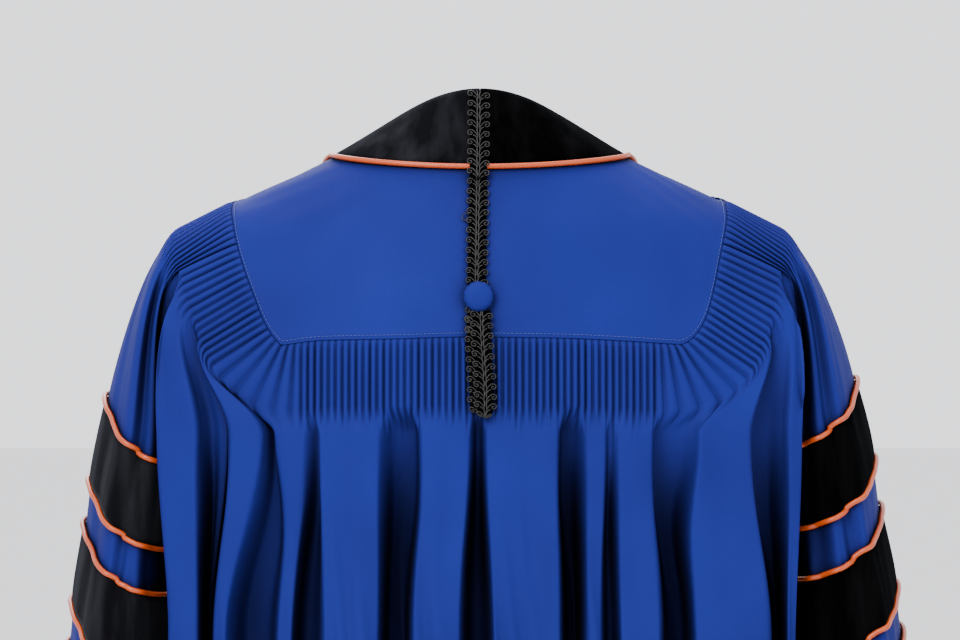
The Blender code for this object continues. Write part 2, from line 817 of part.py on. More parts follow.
def front_plain(share, level):
    """Place of the plain cloth under the facing: 0 at its outer edge, 1 at the zip."""
    x = mix(FACING_X, FRONT_EDGE_X, share)
    edge = front_fold_point(1.0, level, 0.0)
    bulge = read(FRONT_SHAPE, level, 1)
    return Vector((x, mix(edge.y, -bulge, 1 - (x / FACING_X) ** 2), level))


def front_between(flute, t):
    start, end = front_release(flute), front_cloth(flute, FOLD_TOP)
    reach = (end - start).length
    slope = math.radians(front_flute_slope(flute))
    lead = Vector((math.cos(slope), -0.1, -math.sin(slope))) * reach * 0.8
    return bow(start, lead, end, falling(flute, 1) * reach, t)


def facing_top():
    """Top points of the plain cloth, along the yoke seam and then the neck edge."""
    points = []
    for k in range(FACING_COLUMNS_SEAM):
        level = mix(FACING_EDGE_LEVEL, 0, k / FACING_COLUMNS_SEAM)
        points.append(form(FRONT_SEAM_ANGLE, level))
    for k in range(FACING_COLUMNS_NECK + 1):
        points.append(neck_front_point(k / FACING_COLUMNS_NECK))
    return points


def facing_grid():
    """The plain cloth of the left front, as rows from the top down."""
    top = facing_top()
    count = len(top) - 1
    rows = [top]
    for t in FACING_STEPS:
        row = []
        for k, start in enumerate(top):
            end = front_plain(k / count, FOLD_TOP)
            reach = (end - start).length
            lead = Vector(FACING_LEAD) * reach
            row.append(bow(start, lead, end, Vector((0, 0, -reach)), t))
        rows.append(row)
    for level in BACK_LEVELS:
        rows.append([front_plain(k / count, level) for k in range(count + 1)])
    return rows


def mirrored(rows):
    return [[Vector((-p.x, p.y, p.z)) for p in row] for row in rows]


def build_front(name, side):
    top, release = [], []
    for k in range(2 * FRONT_FLUTES + 1):
        flute = k / 2
        raised = Vector((0.1, -1, 0.1)).normalized() * flute_height(flute)
        top.append(front_seam_point(flute) + raised)
        release.append(front_release(flute) + raised)
    count = round(FRONT_FLUTES / FRONT_FLUTES_A_COLUMN)
    columns = [k * FRONT_FLUTES_A_COLUMN for k in range(count + 1)]
    plain = facing_grid()
    rows = [top[:-1] + plain[0], release[:-1] + plain[1]]
    for t in BETWEEN_ROWS:
        rows.append([front_between(f, t) for f in columns[:-1]] + plain[len(rows)])
    for level in BACK_LEVELS:
        rows.append([front_cloth(f, level) for f in columns[:-1]] + plain[len(rows)])
    trim_row(rows, 0, FRONT_TOP_GAP)
    for row in rows:
        row[0] = row[0] + (row[1] - row[0]).normalized() * FRONT_SIDE_GAP
    beyond = [FRONT_FLUTES + k for k in range(len(plain[0]))]
    halves = [k / 2 for k in range(2 * FRONT_FLUTES)] + beyond
    marks = [halves, halves] + [columns[:-1] + beyond] * (len(rows) - 2)
    return sheet(name, rows if side > 0 else mirrored(rows), "blue cloth", CLOTH, marks=marks)


def build_facing(side_name, side):
    rows = facing_grid()
    normals = grid_normals(rows, False)
    lifted = moved_out(rows, normals, LAY_GAP + VELVET)
    trim_row(lifted, 0)
    if side < 0:
        lifted = mirrored(lifted)
    sheet("facing_" + side_name, lifted, "velvet", VELVET)
    edge = []
    for row, line in zip(rows, normals):
        inside = (row[1] - row[0]).normalized() * PIPING_RADIUS
        out = 2 * LAY_GAP + VELVET + PIPING_RADIUS
        edge.append(row[0] + inside + line[0] * out)
    edge = [edge[0].lerp(edge[1], 0.06)] + edge[1:]
    if side < 0:
        edge = mirrored([edge])[0]
    tube("piping_facing_" + side_name, edge, PIPING_RADIUS, "piping")


# Sleeves

def sleeve_table(side):
    return LEFT_SLEEVE if side > 0 else RIGHT_SLEEVE


def ring_drop(across):
    """Drop of a ring below its outer side: soon at first, then level towards the body."""
    share = (1 - across) / 2
    return SLEEVE_INNER_DROP * (1 - (1 - share) ** SLEEVE_DROP_CURVE)


def ring_point(side, ring, turn):
    """A point of a sleeve ring: turn 0 at the outer side, 90 behind, 180 at the body."""
    table = sleeve_table(side)
    height, outer, inner, half_depth, middle_y = table[ring]
    half_width = (outer - inner) / 2
    angle = math.radians(turn)
    across, along_y = math.cos(angle), math.sin(angle)
    share = ring / (len(table) - 1)
    fold = 0.0
    for at, spread, first, last in SLEEVE_FOLDS["left" if side > 0 else "right"]:
        off = abs((turn - at + 180) % 360 - 180) / spread
        if off < 1:
            fold += mix(first, last, share) * (0.5 + 0.5 * math.cos(math.pi * off))
    return Vector((
        side * ((outer + inner) / 2 + (half_width + fold * 0.5) * across),
        middle_y + (half_depth + fold) * along_y,
        height - ring_drop(across),
    ))


def sleeve_head_seam(side, flute):
    """Place on the yoke's seam: flute 0 behind, at the back panel, the last in front."""
    join_turn = join_points(side)[1]
    own_turn = join_turn if side > 0 else 180 - join_turn
    if flute < SLEEVE_FLUTES_BACK:
        turn = own_turn * (1 - flute / SLEEVE_FLUTES_BACK)
    else:
        turn = FRONT_SEAM_ANGLE * (flute - SLEEVE_FLUTES_BACK) / SLEEVE_FLUTES_FRONT
    full_turn = turn if side > 0 else 180 - turn
    return form(full_turn, seam_level(full_turn)), turn, own_turn


def sleeve_release(side, flute):
    """Where a flute of the sleeve head ends."""
    if flute <= 0:
        return release_of_join(side)
    count = SLEEVE_FLUTES_BACK + SLEEVE_FLUTES_FRONT
    if flute >= count:
        end = front_release(0)
        return Vector((side * end.x, end.y, end.z))
    _, turn, own_turn = sleeve_head_seam(side, flute)
    crest = Vector((side * SLEEVE_CREST[0], SLEEVE_CREST[1], SLEEVE_CREST[2]))
    if turn >= 0:
        share = turn / own_turn
        end = release_of_join(side)
    else:
        share = turn / FRONT_SEAM_ANGLE
        end = front_release(0)
        end = Vector((side * end.x, end.y, end.z))
    return Vector((
        mix(crest.x, end.x, share**2),
        end.y * math.sin(share * math.pi / 2),
        mix(crest.z, end.z, share**2),
    ))


def chord(curve, t):
    """A point on the chords that a panel's rows make of its curved edge."""
    stops = (0.0,) + BETWEEN_ROWS + (1.0,)
    for low, high in zip(stops, stops[1:]):
        if t <= high:
            return curve(low).lerp(curve(high), (t - low) / (high - low))


def armhole_back(side, t):
    """Back armhole edge, from the flute's end to under the arm."""
    flute = 0.0 if side > 0 else float(BACK_FLUTES)
    return chord(lambda share: back_between(flute, share), t)


def armhole_front(side, t):
    point = chord(lambda share: front_between(0.0, share), t)
    return Vector((side * point.x, point.y, point.z))


def sleeve_turns(columns):
    """Turn on the rings of each column: the head's flutes, the front and the back armhole."""
    flutes = SLEEVE_FLUTES_BACK + SLEEVE_FLUTES_FRONT
    turns = [mix(BACK_JOIN_TURN, FRONT_JOIN_TURN, k / flutes) for k in range(flutes + 1)]
    turns += [mix(FRONT_JOIN_TURN, -180, k / columns) for k in range(1, columns + 1)]
    turns += [mix(180, BACK_JOIN_TURN, k / columns) for k in range(1, columns)]
    return turns


def build_sleeve(side_name, side):
    flutes = SLEEVE_FLUTES_BACK + SLEEVE_FLUTES_FRONT
    edge_columns = 6
    turns = sleeve_turns(edge_columns)

    def raised(point, flute):
        lean_x, depth, rise = HEAD_LEAN
        normal = Vector((side * lean_x, point.y / depth, rise)).normalized()
        return point + normal * flute_height(flute)

    head, release = [], []
    for k in range(2 * flutes + 1):
        start = sleeve_head_seam(side, k / 2)[0]
        end = sleeve_release(side, k / 2)
        gap = (end - start).normalized() * SLEEVE_TOP_GAP
        head.append(raised(start + gap, k / 2))
        release.append(raised(end, k / 2))
    front_edge = [armhole_front(side, k / edge_columns) for k in range(1, edge_columns + 1)]
    back_edge = [armhole_back(side, k / edge_columns) for k in range(1, edge_columns + 1)]
    ring_one = release + front_edge + list(reversed(back_edge))[1:]
    plain_edge = [release[2 * k] for k in range(flutes + 1)]
    plain_edge += front_edge + list(reversed(back_edge))[1:]

    def leaving(k):
        """Direction in which the cloth leaves the armhole at a column."""
        past = max(0, k - flutes) / edge_columns
        head_column = flutes if past <= 1 else 0
        column = min(k, head_column) if past else k
        start = sleeve_head_seam(side, column)[0]
        headed = (plain_edge[column] - start).normalized()
        under = Vector((side, 0, UNDERARM_FALL)).normalized()
        return headed.lerp(under, ease(min(past, 2 - past))).normalized()

    rows = []
    for t in SLEEVE_BETWEEN:
        row = []
        for k, turn in enumerate(turns):
            start, end = plain_edge[k], ring_point(side, 0, turn)
            reach = (end - start).length
            row.append(bow(start, leaving(k) * reach * SLEEVE_LEAD, end,
                           Vector((side * 0.2, 0, -1)) * reach * SLEEVE_ARRIVE, t))
        rows.append(row)
    for ring in range(len(sleeve_table(side))):
        rows.append([ring_point(side, ring, turn) for turn in turns])
    # the armhole edge stands clear of the body panels
    for k in range(len(ring_one)):
        if k > 2 * flutes or k in (0, 2 * flutes):
            near = rows[0][min(len(turns) - 1, max(0, k - flutes if k > 2 * flutes else k // 2))]
            ring_one[k] = ring_one[k] + (near - ring_one[k]).normalized() * ARMHOLE_GAP
    head[0] = head[0].lerp(head[1], HEAD_EDGE_IN)
    head[-1] = head[-1].lerp(head[-2], HEAD_EDGE_IN)

    def middle(centre):
        return Vector((side * 0.262, -0.04, min(-0.15, centre.z + 0.01)))

    whole = list(range(len(turns)))
    halves = [k / 2 for k in range(2 * flutes)] + whole[flutes:]
    sheet("sleeve_" + side_name, [ring_one] + rows, "blue cloth", CLOTH, closed=True,
          middle=middle, extra=([head], list(range(2 * flutes + 1))),
          marks=[halves] + [whole] * len(rows))
    build_bars(side_name, rows, middle)


def build_bars(side_name, rows, middle):
    normals = grid_normals(rows, True, middle)
    first_ring = 2
    for number, (top, bottom) in enumerate(BAR_RINGS, 1):
        top, bottom = top + first_ring, bottom + first_ring
        upper, lower = rows[top], rows[bottom]
        out = LAY_GAP + VELVET
        band = []
        for t in (0.0, 1.0):
            band.append([
                a.lerp(b, t) + na.lerp(nb, t).normalized() * out
                for a, b, na, nb in zip(upper, lower, normals[top], normals[bottom])])
        name = f"bar_{side_name}_{number}"
        sheet(name, band, "velvet", VELVET, closed=True, middle=middle)
        for label, ring, normal, beside in (
                ("top", upper, normals[top], rows[top - 1]),
                ("bottom", lower, normals[bottom], rows[bottom + 1])):
            cord = []
            for point, line, near in zip(ring, normal, beside):
                beside = (near - point).normalized() * (PIPING_RADIUS + LAY_GAP)
                cord.append(point + beside + line * (2 * LAY_GAP + PIPING_RADIUS))
            tube(f"piping_{side_name}_{number}_{label}", cord, PIPING_RADIUS, "piping",
                 cyclic=True)


# Braid and button

def braid_line(height):
    """Middle of the braid's inner face at a height, just clear of what it lies on."""
    on_band, piping_end, off_band, flutes_start, flutes_end = BRAID_LEVELS
    if height > on_band:
        level = height
        for _ in range(30):
            level += (height - form(90, level).z) * 0.5
            level = min(0.0, level)
        return form(90, level, LAY_GAP * 2 + VELVET + 0.5)
    if height > off_band:
        t = 1 - ease((piping_end - height) / (piping_end - off_band))
        out = mix(BRAID_CLEARANCE, BRAID_OVER_PIPING, t)
        return Vector((0, read(FORM_BACK, height) + out, height))
    over_flutes = ease((flutes_start - height) / (flutes_start - flutes_end))
    out = mix(BRAID_CLEARANCE, BRAID_OVER_FLUTES, over_flutes)
    return Vector((0, read(FORM_BACK, height) + out, height))


def ribbon(name, heights, width, thickness, out, colour):
    """A flat closed band down the centre back."""
    mesh = bmesh.new()
    rings = []
    for height in heights:
        line = braid_line(height)
        ring = []
        for x, y in ((-0.5, 0), (0.5, 0), (0.5, 1), (-0.5, 1)):
            ring.append(mesh.verts.new(
                (line + Vector((BRAID_X + x * width, out + y * thickness, 0))) * MM))
        rings.append(ring)
    for first, second in zip(rings, rings[1:]):
        stitch(mesh, first, second, True)
    mesh.faces.new(rings[0])
    mesh.faces.new(rings[-1])
    bmesh.ops.recalc_face_normals(mesh, faces=mesh.faces)
    return finish_object(name, mesh, colour)


def build_braid():
    heights = [BRAID_TOP, 8, 0, -12, -24, -32, -48, -54, -60, -80, -110, -140,
               -158, -164, -170, -190, -210, BRAID_END]
    ribbon("braid", heights, BRAID_WIDTH, BRAID_THICKNESS, 0.0, "braid")
    loop = [-158, -164, -170, -190, -210, BRAID_END]
    over = BRAID_THICKNESS + LAYER_GAP
    ribbon("braid_loop", loop, LOOP_WIDTH, BRAID_THICKNESS, over, "braid")


def build_button():
    line = braid_line(BUTTON_HEIGHT)
    mesh = bmesh.new()
    bmesh.ops.create_uvsphere(mesh, u_segments=20, v_segments=8, radius=1)
    for vertex in mesh.verts:
        x, y, z = vertex.co
        height = BUTTON_DEPTH * (0.5 + 0.5 * z)
        vertex.co = Vector((
            BRAID_X + x * BUTTON_RADIUS, line.y + BRAID_THICKNESS + LAYER_GAP + height,
            line.z + y * BUTTON_RADIUS)) * MM
    bmesh.ops.recalc_face_normals(mesh, faces=mesh.faces)
    finish_object("button", mesh, "blue cloth")


# Front zip

def front_middle(level):
    """The fronts' outer face beside the zip."""
    if level < FOLD_TOP:
        return front_plain(1.0, level)
    end = front_plain(1.0, FOLD_TOP)
    start = neck_front_point(1.0)
    reach = (end - start).length
    low, high = 0.0, 1.0
    for _ in range(30):
        t = (low + high) / 2
        point = bow(start, Vector(FACING_LEAD) * reach, end, Vector((0, 0, -reach)), t)
        if point.z > level:
            low = t
        else:
            high = t
    return point


def build_zip():
    mesh = bmesh.new()
    rings = []
    levels = list(ZIP_UPPER_LEVELS) + [v for v in BACK_LEVELS if v > ZIP_END] + [ZIP_END]
    half_tape, half_chain = ZIP_TAPE_WIDTH / 2, ZIP_CHAIN_WIDTH / 2
    section = (
        (-half_tape, 0), (-half_tape, -ZIP_TAPE_DEPTH), (-half_chain, -ZIP_TAPE_DEPTH),
        (-half_chain, -ZIP_CHAIN_DEPTH), (half_chain, -ZIP_CHAIN_DEPTH),
        (half_chain, -ZIP_TAPE_DEPTH), (half_tape, -ZIP_TAPE_DEPTH), (half_tape, 0))
    for level in levels:
        back = front_middle(level).y + CLOTH + ZIP_SETBACK
        rings.append([mesh.verts.new(Vector((x, back + y, level)) * MM) for x, y in section])
    for first, second in zip(rings, rings[1:]):
        stitch(mesh, first, second, True)
    mesh.faces.new(rings[0])
    mesh.faces.new(rings[-1])
    bmesh.ops.recalc_face_normals(mesh, faces=mesh.faces)
    finish_object("zip_tape", mesh, "zip tape")


def box(name, centre, size, colour, tilt=0.0):
    bpy.ops.mesh.primitive_cube_add(size=1, location=centre * MM)
    made = bpy.context.object
    made.name = name
    made.scale = Vector(size) * MM
    made.rotation_euler.x = tilt
    bpy.ops.object.transform_apply(location=False, rotation=False, scale=True)
    for holder in made.users_collection:
        holder.objects.unlink(made)
    COLLECTION.objects.link(made)
    made.data.materials.append(material(colour))
    bevel = made.modifiers.new("Edge", "BEVEL")
    bevel.width = BOX_EDGE * MM
    bevel.segments = 1
    return made


def build_slider():
    """Slider in front of the chain: a bridge runs over it, and the pull hangs from that."""
    upper, lower = (front_middle(SLIDER_LEVEL + reach) for reach in SLIDER_REACH)
    lean = math.atan2(upper.y - lower.y, upper.z - lower.z)
    chain_front = front_middle(SLIDER_LEVEL).y + CLOTH + ZIP_SETBACK - ZIP_CHAIN_DEPTH
    hinge = bpy.data.objects.new("zip_pull_hinge", None)
    hinge.location = Vector((0, chain_front - HINGE_AHEAD, SLIDER_LEVEL)) * MM
    COLLECTION.objects.link(hinge)
    metal = "zip metal"
    body = box("zip_slider", Vector((0, SLIDER_BEHIND, 0)), SLIDER_SIZE, metal)
    join(body, box("bridge", Vector((0, -BRIDGE_AHEAD, 0)), BRIDGE_SIZE, metal))
    for z in POST_HEIGHTS:
        join(body, box("post", Vector((0, -POST_AHEAD, z)), POST_SIZE, metal))
    tab = box("zip_pull", Vector((0, 0, -PULL_DROP)), PULL_SIZE, metal)
    cut(tab, box("hole", Vector((0, 0, -PULL_HOLE_DROP)), PULL_HOLE_SIZE, metal))
    body.parent = hinge
    tab.parent = hinge
    hinge.rotation_euler.x = -lean


def bake(thing):
    """The object with its modifiers made real, as a plain mesh."""
    bpy.context.view_layer.update()
    shape = thing.evaluated_get(bpy.context.evaluated_depsgraph_get())
    data = bpy.data.meshes.new_from_object(shape)
    thing.modifiers.clear()
    thing.data = data


def join(target, addition):
    bake(addition)
    bake(target)
    union = target.modifiers.new("Join", "BOOLEAN")
    union.operation = "UNION"
    union.object = addition
    bake(target)
    bpy.data.objects.remove(addition, do_unlink=True)


def cut(target, cutter):
    bake(target)
    hollow = target.modifiers.new("Hole", "BOOLEAN")
    hollow.operation = "DIFFERENCE"
    hollow.object = cutter
    bake(target)
    bpy.data.objects.remove(cutter, do_unlink=True)


def build_gown():
    build_yoke()
    build_neck_bands()
    build_neck_piping()
    build_back_panel()
    for side_name, side in (("left", 1), ("right", -1)):
        build_front("front_" + side_name, side)
        build_facing(side_name, side)
        build_sleeve(side_name, side)
    build_braid()
    build_button()
    build_zip()
    build_slider()


clear_scene()
COLLECTION = bpy.data.collections.new("graduation_gown")
bpy.context.scene.collection.children.link(COLLECTION)
build_gown()
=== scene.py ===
"""Looks of the worn doctoral gown: fine cloth, folds, velvet, piping, braid and zip.

Lengths in tables are in millimetres, turned to metres where a mesh is made. The wearer
faces -Y and +X is the wearer's left, as in the frame.
"""
import math

import bmesh
import bpy
import numpy as np
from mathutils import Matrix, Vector


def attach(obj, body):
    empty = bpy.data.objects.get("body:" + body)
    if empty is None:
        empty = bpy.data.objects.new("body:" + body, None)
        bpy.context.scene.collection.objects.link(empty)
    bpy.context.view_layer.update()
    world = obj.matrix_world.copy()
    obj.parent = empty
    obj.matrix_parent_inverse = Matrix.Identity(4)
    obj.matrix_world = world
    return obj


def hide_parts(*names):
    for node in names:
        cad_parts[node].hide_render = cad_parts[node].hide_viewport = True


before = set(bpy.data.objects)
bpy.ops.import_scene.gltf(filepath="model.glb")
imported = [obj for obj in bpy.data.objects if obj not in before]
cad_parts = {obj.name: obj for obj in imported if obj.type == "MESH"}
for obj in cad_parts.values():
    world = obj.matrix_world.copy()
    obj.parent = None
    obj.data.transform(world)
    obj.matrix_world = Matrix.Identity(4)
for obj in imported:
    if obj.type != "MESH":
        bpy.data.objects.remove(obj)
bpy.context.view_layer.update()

MM = 0.001

# Camera, in metres: the photo sees the gown from behind, level
CAMERA_PLACE = (0.0, 2.5, -0.159)
CAMERA_LENS = 120.0
SENSOR_WIDTH = 36.0
FLOOR_LEVEL = -1.46
FLOOR_SIZE = 60.0

# Cloth
CLOTH = 1.2
VELVET = 1.5
VELVET_WALL = 1.2
LAY_GAP = 0.4
PIPING_RADIUS = 2.0
FLUTE_HEIGHT = 3.0
FLUTE_LENGTH = 49.0
BACK_FLUTES = 90
LEFT_CORNER_FLUTE = 16
RIGHT_CORNER_FLUTE = 74
BACK_COLUMNS = 1021
COLUMNS_A_FLUTE = 12
STITCH_LENGTH = 2.3
STITCH_GAP = 0.8
STITCH_LINE = 0.978
STITCH_LIFT = 1.15
STITCH_SINK = 0.35
THREAD_RADIUS = 0.26
SLEEVE_FLUTES_BACK = 13
SLEEVE_FLUTES_FRONT = 15
SLEEVE_FLUTES = SLEEVE_FLUTES_BACK + SLEEVE_FLUTES_FRONT
ARMHOLE_COLUMNS = 44
# Rows of a sleeve head's flutes, as shares of the way from the seam to where they end
HEAD_ROWS = (0.0, 0.04, 0.12, 0.3, 0.5, 0.75, 1.0)
FRONT_FLUTES = 14
FOLD_TOP = -245.0
FRAME_LEVEL = -400.0
HEM = -1310.0

# Shoulder form: half width or depth at each level from the neck ring down
FORM_WIDTH = (
    # level, half width
    (0, 60), (-16, 86), (-31, 112), (-67, 189), (-81, 221), (-90, 234),
    (-106, 247), (-138, 266), (-175, 281), (-260, 300),
)
FORM_BACK = (
    # level, depth behind the neck's middle
    (0, 62), (-16, 68), (-31, 75), (-67, 90), (-106, 103), (-175, 114), (-260, 119),
)
FORM_FRONT = (
    # level, depth before the neck's middle
    (0, 62), (-31, 72), (-67, 84), (-95, 92), (-130, 102), (-175, 112), (-260, 121),
)
NECK_RISE = 17.0
NECK_RISE_REACH = 60.0

# Yoke seam seen from behind
YOKE_LEFT = (
    # across, height
    (190.5, -66), (190.5, -73), (188, -85.5), (182.6, -106.5), (177.4, -122),
    (170, -141), (161.6, -161), (154.5, -172), (149, -178),
)
YOKE_RIGHT = (
    (-189, -64), (-188.5, -79), (-186, -92), (-181.6, -111), (-176, -136.5),
    (-170, -156.5), (-163.5, -168), (-157, -174.5), (-151, -177.5),
)
YOKE_BOTTOM = (
    (118, -174.3), (61, -173), (11, -171.6), (-57, -172.4), (-107, -174.6),
)
SLEEVE_JOIN_LEVEL = -101.0
JOIN_RELEASE = (229.0, -121.0)
SLEEVE_CREST = (233.0, -89.0)
FLUTE_SLOPES = {
    # degrees below the join, flutes to get there, further turn at the yoke's corner, the flute
    # where that turn starts, flutes that it takes
    1: (31.0, 9.0, 59.0, 12.5, 6.5),
    -1: (33.0, 11.0, 57.0, 13.0, 7.0),
}
FRONT_SEAM_ANGLE = -37.0
FRONT_CORNER_LEVEL = -86.0
FACING_EDGE_LEVEL = -44.0
YOKE_COLUMNS = 421
YOKE_EDGE_RISE = 0.9
YOKE_EDGE_TURN = 0.7
YOKE_EDGE_SINK = 0.8
BAND_EDGE_CREST = -31.0
BAND_EDGE_BACK = -43.0

BACK_FOLDS = (
    # flute, x at the top, x low down, share of fold depth at the top, and low down
    (2, 247.5, 238, 0, 0), (5, 213, 211, 0, 0), (5.8, 209, 208, 0.9, 1),
    (6.8, 205.5, 206.5, 0.45, 1), (8.2, 199, 205, 0.45, 1), (9.3, 194, 203.5, 1, 1),
    (10.4, 188, 200.5, 0, 0), (13, 164, 189, 0, 0), (14.2, 158, 178, 0.6, 1),
    (15.6, 149.5, 156, 0.6, 1), (16.7, 145.5, 151, 0.35, 0.3), (19.4, 131.5, 140, 0.35, 0.3),
    (20.3, 127.5, 136, 0.8, 1), (21, 123.5, 122.5, 0.8, 1), (21.7, 120, 118, 0, 0),
    (26.4, 95, 96, 0.3, 0.05), (30.3, 75, 75, 0, 0), (31.3, 70.5, 71, 1, 1),
    (35.4, 49, 55.5, 1, 1), (36.3, 44, 51, 0, 0), (40.4, 22, 32, 0.25, 0), (43.3, 7.5, 14.5, 0, 0),
    (44.1, 4.5, 10, 1, 1), (45, 0, -5, 1, 1), (45.8, -3, -9.5, 0, 0), (51.8, -36, -37, 0.2, 0.1),
    (56, -58.5, -61.5, 0, 0), (56.9, -62, -65.5, 1, 1), (59.2, -74.5, -73, 1, 1),
    (60, -78, -77, 0, 0), (62.8, -94, -90.5, 0, 0), (63.5, -96.5, -94, 0.55, 0.55),
    (64.1, -98.8, -101, 0.55, 0.55), (64.8, -101.5, -104.5, 0, 0), (69.6, -129, -135.5, 0, 0),
    (70.6, -133, -139.5, 1, 1), (73.1, -146.5, -153.5, 1, 1), (74, -151, -157.5, 0, 0),
    (77.2, -184, -190, 0.2, 0), (80, -203, -220, 0, 0), (81.6, -210, -223.5, 0.8, 1),
    (84.2, -227, -228.5, 0.8, 1), (85.4, -233.5, -232, 0, 0), (88, -245.5, -239.5, 0, 0),
)
BACK_SHAPE = (
    # level, back depth, fold depth, fold edge spread, side seam x
    (FOLD_TOP, 120, 15, 1.000, 200),
    (-310, 122, 30, 1.000, 205),
    (FRAME_LEVEL, 127, 37, 1.000, 215),
    (-620, 152, 42, 1.060, 236),
    (-940, 190, 46, 1.230, 274),
    (HEM, 232, 50, 1.430, 330),
)
SIDE_SEAM_Y = -10.0
BACK_HALF_WIDTH = 278.0
BACK_ROUNDNESS = 2.6
BACK_EDGE = (
    # flutes in from the side seam, x past the seam or short of the first fold, share of fold depth
    (0.7, 12.0, 1.25), (1.4, 3.0, 0.80),
)
ARMHOLE_ROUND = 1.4
ARMHOLE_REACH = 3.0
ARMHOLE_SLOPE = 84.0
ARMHOLE_FRONT_SLOPE = 68.0
FACING_SLOPE = 88.0
FRONT_ROUNDNESS = 2.5
FRONT_FOLDS = (
    # flute, share of the way from the side seam to the facing, depth share
    (0.0, 0.0, 0.0),
    (1.0, 0.10, 0.0), (2.6, 0.25, 0.0), (3.4, 0.30, 1.0), (4.6, 0.38, 1.0),
    (5.4, 0.43, 0.0), (7.2, 0.57, 0.0), (8.0, 0.62, 0.9), (9.0, 0.69, 0.9),
    (9.8, 0.74, 0.0), (11.6, 0.87, 0.0), (12.3, 0.91, 0.7), (13.2, 0.96, 0.7),
    (14.0, 1.00, 0.0),
)
FRONT_SHAPE = (
    # level, front depth, fold depth
    (FOLD_TOP, 121, 10), (-310, 125, 18), (FRAME_LEVEL, 131, 24),
    (-620, 146, 28), (-940, 170, 32), (HEM, 200, 36),
)
FACING_X = 106.0
FRONT_EDGE_X = 4.6
NECK_FRONT_LEVEL = -95.0
SIDES = {1: "left", -1: "right"}
SLEEVE = {1: (
    # height, outer, inner, half depth, middle y
    (-220, 294, 222, 95, -40), (-280, 306, 227, 103, -44), (-319, 311, 231, 108, -47),
    (-375, 320, 236, 116, -50), (-415, 324, 240, 122, -52), (-475, 331, 246, 138, -56),
    (-540, 339, 254, 158, -62), (-605, 347, 262, 178, -68),
), -1: (
    (-207, 296, 222, 95, -40), (-264, 310, 227, 103, -44), (-307, 316, 231, 108, -47),
    (-364, 328, 236, 116, -50), (-404, 333, 240, 122, -52), (-464, 338, 246, 138, -56),
    (-535, 344, 254, 158, -62), (-605, 350, 262, 178, -68),
)}
LAST_RING = 7.0
BAR_RINGS = ((0, 1), (2, 3), (4, 5))
RING_STEP = 0.08
PIPING_STEP = 0.1
SLEEVE_INNER_DROP = 54.0
SLEEVE_DROP_CURVE = 2.5
BACK_JOIN_TURN = 112.0
FRONT_JOIN_TURN = -72.0
SLEEVE_FOLDS = {
    # turn round the sleeve, half width in degrees, height at the first and the last ring
    1: ((78, 24, 5, 9), (-60, 26, 6, 14), (-130, 22, 5, 12), (150, 22, 0, 8)),
    -1: ((52, 15, 7, 8), (98, 18, 3, 9), (-60, 26, 6, 14), (-130, 22, 5, 12)),
}
SLEEVE_CREASES = {
    # turn round the sleeve, degrees it drifts a ring, half width, ring where it starts, height
    1: (
        (100, 0.5, 11, -1.0, 4.5), (84, -1.0, 10, -1.0, -5.5), (66, -1.5, 14, -1.0, 3.0),
        (44, 1.5, 12, -1.0, -2.4), (110, -2.5, 9, 1.2, 2.4), (74, 1.5, 8, 2.0, 2.2),
        (18, -1.0, 12, 0.2, 1.6), (-20, 1.5, 12, 0.8, 2.0), (-90, 1.0, 10, 0.5, 2.6),
    ),
    -1: (
        (103, -0.5, 16, -1.0, -8.0), (64, -1.0, 9, -1.0, 6.0), (77, -1.0, 7, -1.0, -3.0),
        (48, 1.0, 10, -1.0, -2.4), (120, -1.5, 9, 1.2, 3.0), (34, 2.0, 9, 0.4, 2.2),
        (-20, 1.5, 12, 0.8, 2.0), (-90, 1.0, 10, 0.5, 2.6),
    ),
}
POCKET_DEPTH = 10.0
POCKET_START = 22.0
POCKET_SHUT = 0.72
FIRST_OPENING = 0.30
WHOLE_OPENING_DROP = 95.0
POCKET_DROP = 155.0
CROWN = 8.0
FINE = 24
FOLD_SOFTNESS = 0.27
FRONT_SOFTNESS = 0.30
FLUTE_AT_SEAM = 0.35
FLUTE_FADE = 24.0
FRONT_SHORT = 0.18

# Zip
ZIP_TOP = -108.0
ZIP_END = -1120.0
ZIP_SETBACK = 3.0
ZIP_SECTION = (
    # the tape's outline from above, raised in the middle: across, out
    (-12, 0), (-12, -0.9), (-3, -0.9), (-2.6, -1.4), (2.6, -1.4), (3, -0.9), (12, -0.9), (12, 0),
)
TOOTH_PITCH = 2.4

# Colours, in linear light
BLUE = (0.0052, 0.0082, 0.100)
BLUE_DEEP = (0.0045, 0.0071, 0.088)
BLUE_PALE = (0.0060, 0.0094, 0.112)
# Painted shade in the blue cloth's hollows: how far the occlusion looks and how hard it darkens the
# colour
PAINTED_SHADE_REACH = 0.045
PAINTED_SHADE_STRENGTH = 1.7
THREAD = (0.0085, 0.022, 0.18)
# One velvet in two copies for the two ways its nap lies: the grey copy is painted sheen with paler
# painted sheen streaks, and the black copy is painted shade with faint painted sheen streaks
VELVET_PAINTED_SHEEN_GREY = (0.0024, 0.0024, 0.0030)
VELVET_PAINTED_SHEEN_STREAK = (0.0085, 0.0085, 0.0105)
VELVET_BLACK = (0.0004, 0.0004, 0.0004)
VELVET_FAINT_PAINTED_SHEEN = (0.0020, 0.0020, 0.0022)
ORANGE = (0.30, 0.036, 0.0010)
GIMP = (0.0030, 0.0030, 0.0027)
GIMP_PALE = (0.0100, 0.0100, 0.0088)
GROUND_BLACK = (0.0006, 0.0006, 0.0006)
TAPE_BLUE = (0.008, 0.018, 0.10)
TEETH_BLUE = (0.010, 0.022, 0.13)
METAL_GREY = (0.42, 0.42, 0.44)
FLOOR_GREY = (0.82, 0.82, 0.82)
WEAVE_SCALE = 330.0

